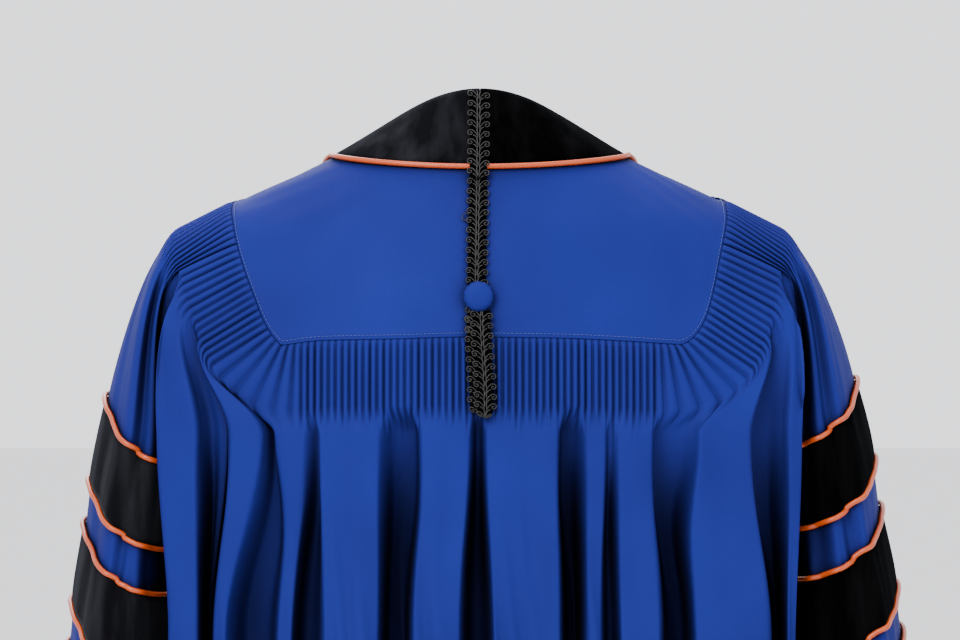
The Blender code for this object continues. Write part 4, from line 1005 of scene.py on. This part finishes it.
def sleeve_grids(side):
    """Rows of the sleeve head's flutes, and of the closed tube below them."""
    flute = np.linspace(0, SLEEVE_FLUTES, SLEEVE_FLUTES * COLUMNS_A_FLUTE + 1)
    seam, release = sleeve_head(side, even_flutes(side, flute))
    down = np.arange(1, ARMHOLE_COLUMNS + 1) / ARMHOLE_COLUMNS
    up = down[::-1][1:]
    rim = np.concatenate([release, armhole(side, down, False), armhole(side, up, True)])
    turns = np.concatenate([mix(BACK_JOIN_TURN, FRONT_JOIN_TURN, flute / SLEEVE_FLUTES),
                            mix(FRONT_JOIN_TURN, -180, down), mix(BACK_JOIN_TURN, 180, up)])
    headed = unit(release - seam)
    under = unit(np.array([side, 0, -0.2]))
    leaving = np.concatenate([headed, unit(mix(headed[-1], under, ease(down)[:, None])),
                              unit(mix(headed[0], under, ease(up)[:, None]))])
    end = ring_places(side, 0.0, turns)
    reach = size_of(end - rim)[:, None]
    arrive = np.array([side * 0.2, 0, -1]) * reach * 0.8
    fold = sleeve_crease(side, 0.0, turns)
    out = point(side * 0.5 * np.cos(np.radians(turns)), np.sin(np.radians(turns)), 0.0)
    tube = []
    for t in np.linspace(0, 1, 21) ** 1.15:
        early = ease(t / 0.35) - ease(t)
        tube.append(bow(rim, leaving * reach * 0.7, end, arrive, t)
                    + out * (fold * early)[:, None])
    tube += [ring_places(side, r, turns) for r in np.linspace(0, LAST_RING, 43)[1:]]
    return flute, np.array([mix(seam, release, t) for t in HEAD_ROWS]), np.array(tube)


def build_sleeve(side):
    flute, head, tube = sleeve_grids(side)
    middle = sleeve_middle(side)
    count = len(flute)
    uneven = 4.0 * wander(flute * 1.1, 61 + side) + 2.0 * wander(flute * 4.3, 63 + side)
    shares = [near_seam(flute, t * 8) for t in HEAD_ROWS[:-1]]
    shares += [1 - ease(away / np.maximum(9, FLUTE_FADE + uneven))
               for away in size_of(tube[:, :count] - tube[0, :count])]
    whole = np.concatenate([head[:-1], tube[:, :count]])
    raised = raise_flutes(whole, shares, flute, 65 + side, middle)
    tube[:, :count] = raised[len(head) - 1:]
    return cloth_object(f"sleeve_{SIDES[side]}_cloth",
                        [(raised[:len(head)], False), (tube, True)], CLOTH, middle)


def build_bars(side):
    """A sleeve's velvet bars, and the piping above and below each."""
    middle = sleeve_middle(side)
    turns = np.linspace(0, 360, 241)[:-1]
    shares = np.linspace(0, 1, 12)
    bulge = belly(shares, 1)[:, None]
    velvet, cords = [], []
    for number, (top, bottom) in enumerate(BAR_RINGS, 1):
        rings = [max(0, top - RING_STEP), *mix(top, bottom, shares), bottom + RING_STEP]
        whole = np.array([ring_places(side, r, turns) for r in rings])
        inner, normals = whole[1:-1], normals_of(whole, True, middle)[1:-1]
        puff = LAY_GAP + VELVET + 0.6 * belly(shares, 0.5)[:, None]
        puff = puff + 0.35 * wander(turns * 0.09, 71 + number) * bulge
        velvet.append(cloth_object(f"bar_{SIDES[side]}_{number}_velvet",
                                   [(inner + normals * puff[..., None], True)],
                                   VELVET_WALL, middle))
        for label, ring, past in (("top", 0, top - PIPING_STEP),
                                  ("bottom", -1, bottom + PIPING_STEP)):
            beyond = ring_places(side, past, turns)
            if past < 0:
                beyond = 2 * inner[0] - ring_places(side, -past, turns)
            line = beside_edge(inner[ring], beyond, normals[ring])
            cords.append(cord_object(f"piping_{SIDES[side]}_{number}_{label}_cord", line,
                                     PIPING_RADIUS, closed=True, sides=10))
    return velvet, cords


# Fronts and facings

def front_seam(flute):
    """Where each front flute starts, on the left: flute 0 at the armhole, the last at the facing."""
    share = np.asarray(flute, float) / FRONT_FLUTES
    return form(FRONT_SEAM_ANGLE, mix(FRONT_CORNER_LEVEL, FACING_EDGE_LEVEL, share))


def front_slope(flute):
    return np.radians(mix(ARMHOLE_FRONT_SLOPE, FACING_SLOPE, ease(flute / FRONT_FLUTES * 1.6)))


def front_release(flute):
    """Where each front flute ends."""
    start, slope = front_seam(flute), front_slope(flute)
    return front_point(start[..., 0] + np.cos(slope) * FLUTE_LENGTH,
                       start[..., 2] - np.sin(slope) * FLUTE_LENGTH)


def front_place(share, level, depth_share):
    """Places of the hanging front: share 0 at the side seam, 1 at the facing's edge."""
    x = mix(side_x(level), FACING_X, share)
    across = np.minimum(1.0, x / side_x(level))
    y = -front_depth(level) * (1 - across**FRONT_ROUNDNESS) ** (1 / FRONT_ROUNDNESS)
    y = y + SIDE_SEAM_Y * across**4
    return point(x, np.minimum(SIDE_SEAM_Y, y) + depth_share * front_fold(level), level)


def front_folds(flute, level, seed):
    rows = np.array(FRONT_FOLDS)
    fine = np.linspace(0, FRONT_FLUTES, FRONT_FLUTES * FINE + 1)
    share, depth = columns_at(fine, rows[:, 0], rows[:, 1:]).T
    place = front_place(share, level, soften(depth, FRONT_SOFTNESS * FINE))
    place[:, 0] = soften(place[:, 0], FRONT_SOFTNESS * FINE)
    out = columns_at(flute, fine, place)
    low = ease((FOLD_TOP - level) / 250) * ease((FRONT_FLUTES - flute) / 2) * ease(flute / 2)
    out[:, 1] -= low * 1.5 * wander(flute * 0.8 + level * 0.008, seed)
    return out


def front_plain(share, level):
    """The plain cloth under the facing: 0 at its outer edge, 1 at the zip."""
    x = mix(FACING_X, FRONT_EDGE_X, share)
    edge = front_place(1.0, level, 0.0)[..., 1]
    return point(x, mix(edge, -front_depth(level), 1 - (x / FACING_X) ** 2), level)


def neck_front(share):
    start = form(FRONT_SEAM_ANGLE, 0)
    end = np.array([FRONT_EDGE_X, -90.0, NECK_FRONT_LEVEL])
    return bow(start, np.array([6, -60, -60]), end, np.array([-70, -20, -50]), share)


def facing_top(share):
    """Along the yoke seam for the first two sevenths, then along the neck edge."""
    place = np.asarray(share, float) * 7
    on_seam = form(FRONT_SEAM_ANGLE, mix(FACING_EDGE_LEVEL, 0.0, np.minimum(1, place / 2)))
    on_neck = neck_front(np.clip((place - 2) / 5, 0, 1))
    return np.where((place < 2)[..., None], on_seam, on_neck)


def plain_place(share, t):
    start, end = facing_top(share), front_plain(share, FOLD_TOP)
    reach = size_of(end - start)[..., None]
    return bow(start, np.array([0, -0.45, -0.9]) * reach, end,
               np.array([0, 0, -1.0]) * reach, t)


ROW_SHARES = np.append(np.linspace(0, FRONT_SHORT, 6), np.linspace(FRONT_SHORT, 1, 15)[1:])
FRONT_LEVELS = np.append(np.linspace(FOLD_TOP, FRAME_LEVEL, 8)[1:],
                         np.linspace(FRAME_LEVEL, HEM, 14)[1:])


def build_front(side):
    flute = np.linspace(0, FRONT_FLUTES, FRONT_FLUTES * COLUMNS_A_FLUTE + 1)
    share = np.linspace(0, 1, 31)[1:]
    seam, release = front_seam(flute), front_release(flute)
    top = front_folds(flute, FOLD_TOP, 81 + side)
    reach = size_of(top - release)[:, None]
    slope = front_slope(flute)
    lead = point(np.cos(slope), -0.1, -np.sin(slope)) * reach * 0.8
    arrive = falling(flute, 1) * reach
    uneven = 5.0 * wander(flute * 1.1, 83 + side)
    rows, shares, plains = [], [], []
    for r in ROW_SHARES:
        if r <= FRONT_SHORT:
            rows.append(mix(seam, release, r / FRONT_SHORT))
            shares.append(near_seam(flute, r * 30))
        else:
            t = np.interp(r, (FRONT_SHORT, 0.42, 0.7, 1), (0, 0.35, 0.7, 1))
            rows.append(bow(release, lead, top, arrive, t))
            shares.append(1 - ease(t * reach[:, 0] / (FLUTE_FADE + uneven)))
        plains.append(plain_place(share, r))
    for level in FRONT_LEVELS:
        rows.append(front_folds(flute, level, 81 + side))
        shares.append(np.zeros(len(flute)))
        plains.append(front_plain(share, level))
    cloth = raise_flutes(np.array(rows), shares, flute, 85 + side)
    grid = to_side(np.concatenate([cloth, np.array(plains)], axis=1), side)
    return cloth_object(f"front_{SIDES[side]}_cloth", [(grid, False)], CLOTH)


def build_facing(side):
    """A velvet facing from the neck to the hem, and the piping along its outer edge."""
    across = np.linspace(0, 1, 29)
    rows = [plain_place(across, t) for t in np.linspace(0, 1, 22)]
    rows += [front_plain(across, level) for level in FRONT_LEVELS]
    rows = to_side(np.array(rows), side)
    normals = normals_of(rows)
    down = wander(np.arange(len(rows)) * 0.5, 91 + side)[:, None]
    puff = LAY_GAP + VELVET + 0.4 * belly(across, 0.6) + 0.3 * belly(across, 1) * down
    edge = rows[:, 0] + unit(rows[:, 1] - rows[:, 0]) * PIPING_RADIUS
    edge = edge + normals[:, 0] * (2 * LAY_GAP + VELVET + PIPING_RADIUS)
    name = "facing_" + SIDES[side]
    velvet = cloth_object(name + "_velvet", [(rows + normals * puff[..., None], False)],
                          VELVET_WALL)
    return velvet, cord_object(name + "_piping", smooth_line(edge), PIPING_RADIUS)


# Braid and button

def braid_place(height):
    """Middle of the braid's inner face at each height of the centre back."""
    levels = np.linspace(0, -60, 200)
    heights = form(90.0, levels)[:, 2]
    level = np.interp(-height, -heights, levels)
    on_band = form_back(level) + 2.9
    over_piping = 1 - ease((-49 - height) / 5)
    by_piping = form_back(height) + mix(0.9, 5.4, over_piping)
    over_flutes = ease((-160 - height) / 9)
    below = form_back(height) + mix(0.9, 3.6, over_flutes)
    rise = ease((-20 - height) / 14)
    upper = mix(on_band, by_piping, rise)
    return np.where(height > -54, upper, below)


def round_end(height, end):
    """Share of the braid's width near its rounded lower end."""
    off = np.clip((BRAID_ROUNDING - (height - end)) / BRAID_ROUNDING, 0, 1)
    return np.sqrt(np.maximum(0.03, 1 - off**2))


def braid_backing(top, end, centre, out, half, rounded):
    """The flat woven ground that carries the braid's cords."""
    height = np.linspace(top, end, 90)
    width = half * 0.80 * (round_end(height, end) if rounded else 1.0)
    back = braid_place(height) + out
    rings = np.stack([point(centre(height) + x * width, back + y, height)
                      for x, y in ((-1, 0.1), (-0.97, 0.8), (0.97, 0.8), (1, 0.1))], axis=1)
    return rings.reshape(-1, 3), tube_faces(len(height), 4)


def braid_cords(top, end, centre, out, half, rounded, seed):
    """Gimp cords: two stems, with branches that curl to a scroll at each edge, again and again."""
    rng = np.random.default_rng(seed)
    parts = []

    def add(x, z, lift, radius):
        z = np.clip(z, end, top)
        if rounded:
            x = x * round_end(z, end)
        y = braid_place(z) + out + lift
        parts.append(cord_mesh(point(centre(z) + x, y, z), radius, sides=5, flat_to=(0, 1, 0)))

    branches = [smooth_line(BRAID_SCROLL, 24), smooth_line(BRAID_LEAF, 9)]
    base = top - BRAID_PITCH * 0.7
    while base > end - 2:
        for side in (-1, 1):
            for branch in branches:
                jitter = rng.uniform(-0.35, 0.35, 3)
                reach = half / 8.25 * (1 + 0.05 * jitter[0])
                add(side * branch[:, 0] * reach, base + branch[:, 1] + jitter[1] * 0.7
                    + side * BRAID_PITCH * 0.12, branch[:, 2] + 0.4 * jitter[2], BRANCH_RADIUS)
        base -= BRAID_PITCH
    height = np.linspace(top, end + 1.0, int((top - end) / 0.9))
    phase = 2 * np.pi * height / BRAID_PITCH
    for side in (-1, 1):
        add(side * (0.85 + 0.30 * np.cos(phase)), height, 1.9 + 0.25 * np.sin(phase),
            STEM_RADIUS)
    return parts


def build_braid():
    def straight(z):
        return 1.0 + 1.6 * ease(-z / 165)

    def under(z):
        return mix(3.2, 1.2, ease((-158 - z) / 60))

    def over(z):
        return mix(-1.2, -4.0, ease((-158 - z) / 60))

    half = BRAID_WIDTH / 2
    layers = (
        # top, end, middle, out, half width, rounded
        (BRAID_TOP, -170.0, straight, 0.0, half, False),
        (-156.0, -229.0, under, 0.0, half, True),
        (-152.0, -231.5, over, 1.9, half, True),
    )
    cords = [braid_cords(*layer, seed) for seed, layer in enumerate(layers)]
    stray = smooth_line(BRAID_STRAY, 30)
    stray[:, 1] += braid_place(stray[:, 2])
    cords[0].append(cord_mesh(stray, STRAY_RADIUS, sides=5))
    grounds = [braid_backing(*layer) for layer in layers]
    return (mesh_object("braid_gimp", cords[0] + cords[1]),
            mesh_object("braid_loop_gimp", cords[2]),
            mesh_object("braid_ground", grounds[:2]),
            mesh_object("braid_loop_ground", grounds[2:]))


def build_button():
    """Cloth-covered button: a dome drawn over its edge, with gathers under the rim."""
    turn = np.linspace(0, 2 * np.pi, BUTTON_SIDES, endpoint=False)
    line = float(braid_place(np.array(BUTTON_HEIGHT))) + 2.3
    waves = 0.018 * (1 + np.cos(turn * 14 + wander(turn * 3, 95)))
    rows = []
    for radius, depth in BUTTON_PROFILE:
        reach = BUTTON_RADIUS * radius * (1 - waves * ease((radius - 0.8) / 0.2))
        rows.append(point(1.2 + reach * np.cos(turn), line + depth * BUTTON_DEPTH,
                          BUTTON_HEIGHT + reach * np.sin(turn)))
    faces = [tuple(1 + corner for corner in face)
             for face in tube_faces(len(rows) - 1, BUTTON_SIDES)]
    faces[-2:-1] = [(0, 1 + k, 1 + (k + 1) % BUTTON_SIDES) for k in range(BUTTON_SIDES)]
    return mesh_object("button_cover", [(np.concatenate([rows[0][:1], *rows[1:]]), faces)])


# Front zip

def front_middle(level):
    """Y of the fronts' outer face beside the zip."""
    steps = np.linspace(0, 1, 200)
    upper = plain_place(np.array(1.0), steps)
    below = front_plain(1.0, level)[..., 1]
    above = np.interp(-np.asarray(level, float), -upper[:, 2], upper[:, 1])
    return np.where(np.asarray(level) > FOLD_TOP, above, below)


def box_mesh(centre, size):
    corners = np.array([(x, y, z) for x in (-1, 1) for y in (-1, 1) for z in (-1, 1)])
    faces = [(0, 1, 3, 2), (4, 6, 7, 5), (0, 4, 5, 1), (2, 3, 7, 6), (0, 2, 6, 4), (1, 5, 7, 3)]
    return np.array(centre) + corners * np.array(size) / 2, faces


def build_zip():
    """Woven tape and two rows of moulded teeth that mesh along the middle."""
    levels = np.linspace(ZIP_TOP, ZIP_END, 260)
    back = front_middle(levels) + CLOTH + ZIP_SETBACK
    rings = np.array([[(x, b + y, z) for x, y in ZIP_SECTION] for b, z in zip(back, levels)])
    tape = mesh_object("zip_woven_tape", [(rings.reshape(-1, 3),
                                           tube_faces(len(levels), len(ZIP_SECTION)))])
    teeth = []
    level = ZIP_TOP - 2
    side = 1
    while level > ZIP_END + 2:
        y = float(front_middle(level)) + CLOTH + ZIP_SETBACK - 2.6
        teeth.append(box_mesh((side * 1.1, y, level), (3.2, 2.4, 0.95)))
        teeth.append(box_mesh((-side * 0.65, y, level), (1.0, 1.6, 1.25)))
        side = -side
        level -= TOOTH_PITCH / 2
    return tape, mesh_object("zip_teeth", teeth)


# Finishes

def new_finish(name, colour, roughness, sheen=0.0, sheen_tint=(1, 1, 1), specular=0.3):
    made = bpy.data.materials.new(name)
    made.use_nodes = True
    shader = made.node_tree.nodes["Principled BSDF"]
    shader.inputs["Base Color"].default_value = (*colour, 1)
    shader.inputs["Roughness"].default_value = roughness
    shader.inputs["Specular IOR Level"].default_value = specular
    shader.inputs["Sheen Weight"].default_value = sheen
    shader.inputs["Sheen Roughness"].default_value = 0.4
    shader.inputs["Sheen Tint"].default_value = (*sheen_tint, 1)
    made.diffuse_color = (*colour, 1)
    return made, made.node_tree, shader


def node(tree, kind, values=None, **settings):
    made = tree.nodes.new(kind)
    for key, value in settings.items():
        setattr(made, key, value)
    for key, value in (values or {}).items():
        made.inputs[key].default_value = value
    return made


def noise(tree, scale, detail=2.0, stretch=(1, 1, 1)):
    place = node(tree, "ShaderNodeTexCoord")
    mapping = node(tree, "ShaderNodeMapping", {"Scale": stretch})
    made = node(tree, "ShaderNodeTexNoise", {"Scale": scale, "Detail": detail})
    tree.links.new(place.outputs["Object"], mapping.inputs["Vector"])
    tree.links.new(mapping.outputs["Vector"], made.inputs["Vector"])
    return made.outputs["Fac"]


def blend_colours(tree, factor, first, second, low=0.35, high=0.65):
    ramp = node(tree, "ShaderNodeMapRange",
                {"From Min": low, "From Max": high, "To Min": 0.0, "To Max": 1.0})
    both = node(tree, "ShaderNodeMix", data_type="RGBA")
    both.inputs[6].default_value = (*first, 1)
    both.inputs[7].default_value = (*second, 1)
    tree.links.new(factor, ramp.inputs["Value"])
    tree.links.new(ramp.outputs["Result"], both.inputs[0])
    return both.outputs[2]


def bump(tree, shader, height, distance, strength, below=None):
    made = node(tree, "ShaderNodeBump", {"Strength": strength, "Distance": distance})
    tree.links.new(height, made.inputs["Height"])
    if below is not None:
        tree.links.new(below, made.inputs["Normal"])
    tree.links.new(made.outputs["Normal"], shader.inputs["Normal"])
    return made.outputs["Normal"]


def paint_shade_in_hollows(tree, colour, shader):
    """Painted shade: deep valleys take little light, so their colour goes down with what closes them
    in, through ambient occlusion.
    """
    open_sky = node(tree, "ShaderNodeAmbientOcclusion", {"Distance": PAINTED_SHADE_REACH}, samples=8)
    power = node(tree, "ShaderNodeMath", operation="POWER")
    power.inputs[1].default_value = PAINTED_SHADE_STRENGTH
    scaled = node(tree, "ShaderNodeVectorMath", operation="SCALE")
    tree.links.new(open_sky.outputs["AO"], power.inputs[0])
    tree.links.new(colour, scaled.inputs[0])
    tree.links.new(power.outputs["Value"], scaled.inputs["Scale"])
    tree.links.new(scaled.outputs["Vector"], shader.inputs["Base Color"])


def make_blue():
    made, tree, shader = new_finish("blue_twill", BLUE, 0.72, 0.0, (0.3, 0.5, 1.0), 0.06)
    colour = blend_colours(tree, noise(tree, 9.0), BLUE_DEEP, BLUE_PALE, 0.3, 0.7)
    # painted shade: the colour is darkened in valleys and creases
    paint_shade_in_hollows(tree, colour, shader)
    place = node(tree, "ShaderNodeTexCoord")
    weave = node(tree, "ShaderNodeTexWave", {"Scale": WEAVE_SCALE, "Distortion": 1.5},
                 wave_type="BANDS", bands_direction="DIAGONAL")
    tree.links.new(place.outputs["UV"], weave.inputs["Vector"])
    fine = bump(tree, shader, weave.outputs["Fac"], 0.00008, 0.35)
    slub = bump(tree, shader, noise(tree, 900.0, 3.0), 0.00025, 0.5, fine)
    bump(tree, shader, noise(tree, 26.0), 0.0022, 0.45, slub)
    return made


def make_velvet(name, colour, pale, sheen):
    made, tree, shader = new_finish(name, colour, 0.9, sheen, (0.8, 0.85, 1.0), 0.0)
    # Painted sheen: vertical streaks of a paler colour stand in for light caught by the nap
    sheen_streaks = noise(tree, 60.0, 4.0, (1.0, 1.0, 0.12))
    painted_sheen_colour = blend_colours(tree, sheen_streaks, colour, pale, 0.42, 0.72)
    tree.links.new(painted_sheen_colour, shader.inputs["Base Color"])
    pile = bump(tree, shader, noise(tree, 1400.0), 0.0003, 0.6)
    bump(tree, shader, noise(tree, 45.0, 3.0, (1.0, 1.0, 0.3)), 0.0015, 0.5, pile)
    return made


def make_grained(name, colour, roughness, sheen, tint, specular, grain, depth, strength):
    """A finish with an even, fine grain."""
    made, tree, shader = new_finish(name, colour, roughness, sheen, tint, specular)
    bump(tree, shader, noise(tree, grain), depth, strength)
    return made, tree, shader


def make_piping():
    made, _, shader = make_grained("satin_piping", ORANGE, 0.34, 0.0, (1, 0.8, 0.6), 0.35,
                                   700.0, 0.00012, 0.4)
    shader.inputs["Anisotropic"].default_value = 0.4
    return made


def make_braid():
    made, tree, shader = make_grained("gimp_braid", GIMP, 0.42, 0.0, (0.9, 0.9, 0.85), 0.22,
                                      2600.0, 0.00012, 0.6)
    colour = blend_colours(tree, noise(tree, 500.0, 3.0), GIMP, GIMP_PALE)
    tree.links.new(colour, shader.inputs["Base Color"])
    return made


def make_plain(name, colour, roughness, metallic=0.0):
    made, _, shader = new_finish(name, colour, roughness, specular=0.5)
    shader.inputs["Metallic"].default_value = metallic
    return made


def dress(thing, finish, replaced):
    """Finish, body and slot of a piece, and the solids that it stands for."""
    thing.data.materials.clear()
    thing.data.materials.append(finish)
    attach(thing, "gown")
    if replaced:
        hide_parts(*replaced)
    return thing


# The gown

blue = make_blue()
# Lit and shaded copies of one velvet: painted sheen on the grey copy, painted shade on the black
# copy
velvet_painted_sheen = make_velvet("velvet_with_nap", VELVET_PAINTED_SHEEN_GREY, VELVET_PAINTED_SHEEN_STREAK, 0.04)
velvet_painted_shade = make_velvet("velvet_against_nap", VELVET_BLACK, VELVET_FAINT_PAINTED_SHEEN, 0.01)
satin = make_piping()
gimp = make_braid()
ground_finish, _, _ = new_finish("braid_ground", GROUND_BLACK, 0.9, specular=0.0)
tape_finish, _, _ = make_grained("woven_tape", TAPE_BLUE, 0.8, 0.2, (1, 1, 1), 0.3,
                                 1500.0, 0.0001, 0.5)
metal = make_plain("zip_metal", METAL_GREY, 0.32, 1.0)
teeth_finish = make_plain("zip_moulded_teeth", TEETH_BLUE, 0.38)

yoke = dress(build_yoke(), blue, ["yoke"])
dress(build_topstitching(), make_plain("blue_thread", THREAD, 0.6), [])
back = dress(build_back(), blue, ["back_panel"])
for half, finish, side_name in zip(build_neck_bands(), (velvet_painted_sheen, velvet_painted_shade),
                                   SIDES.values()):
    dress(half, finish, ["neck_band_" + side_name])
dress(build_neck_piping(), satin, ["piping_neck"])
for (side, side_name), finish in zip(SIDES.items(), (velvet_painted_sheen, velvet_painted_shade)):
    sleeve = dress(build_sleeve(side), blue, ["sleeve_" + side_name])
    bars, cords = build_bars(side)
    for bar in bars:
        dress(bar, finish, [bar.name.removesuffix("_velvet")])
    for cord in cords:
        dress(cord, satin, [cord.name.removesuffix("_cord")])
    front = dress(build_front(side), blue, ["front_" + side_name])
    facing, facing_cord = build_facing(side)
    dress(facing, velvet_painted_shade, ["facing_" + side_name])
    dress(facing_cord, satin, ["piping_facing_" + side_name])
braid, braid_loop, braid_ground, loop_ground = build_braid()
dress(braid, gimp, ["braid"])
dress(braid_loop, gimp, ["braid_loop"])
for ground in (braid_ground, loop_ground):
    dress(ground, ground_finish, [])
dress(build_button(), blue, ["button"])
zip_tape, zip_teeth = build_zip()
dress(zip_tape, tape_finish, ["zip_tape"])
dress(zip_teeth, teeth_finish, [])
for name in ("zip_slider", "zip_pull"):
    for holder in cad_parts[name].material_slots:
        holder.material = metal


# Camera, floor and light

camera = add_object("camera", bpy.data.cameras.new("camera"))
camera.location = CAMERA_PLACE
camera.rotation_euler = (math.radians(90), 0, math.radians(180))
camera.data.lens = CAMERA_LENS
camera.data.sensor_width = SENSOR_WIDTH
bpy.context.scene.camera = camera

floor_mesh = bpy.data.meshes.new("floor")
floor_mesh.from_pydata([(x * FLOOR_SIZE / 2, y * FLOOR_SIZE / 2, FLOOR_LEVEL)
                        for x, y in ((-1, -1), (1, -1), (1, 1), (-1, 1))], [], [(0, 1, 2, 3)])
floor_mesh.materials.append(make_plain("pale_floor", FLOOR_GREY, 0.9))
add_object("floor", floor_mesh)
for name, place, target, size, power in LIGHTS:
    lamp = bpy.data.lights.new(name, "AREA")
    lamp.shape = "RECTANGLE"
    lamp.size = lamp.size_y = size
    lamp.energy = power
    light = add_object(name, lamp)
    light.location = place
    aim = Vector(target) - Vector(place)
    light.rotation_euler = aim.to_track_quat("-Z", "Y").to_euler()
world = bpy.data.worlds.new("pale_room")
world.use_nodes = True
world.node_tree.nodes["Background"].inputs["Color"].default_value = (0.95, 0.96, 1.0, 1)
world.node_tree.nodes["Background"].inputs["Strength"].default_value = WORLD_STRENGTH
bpy.context.scene.world = world
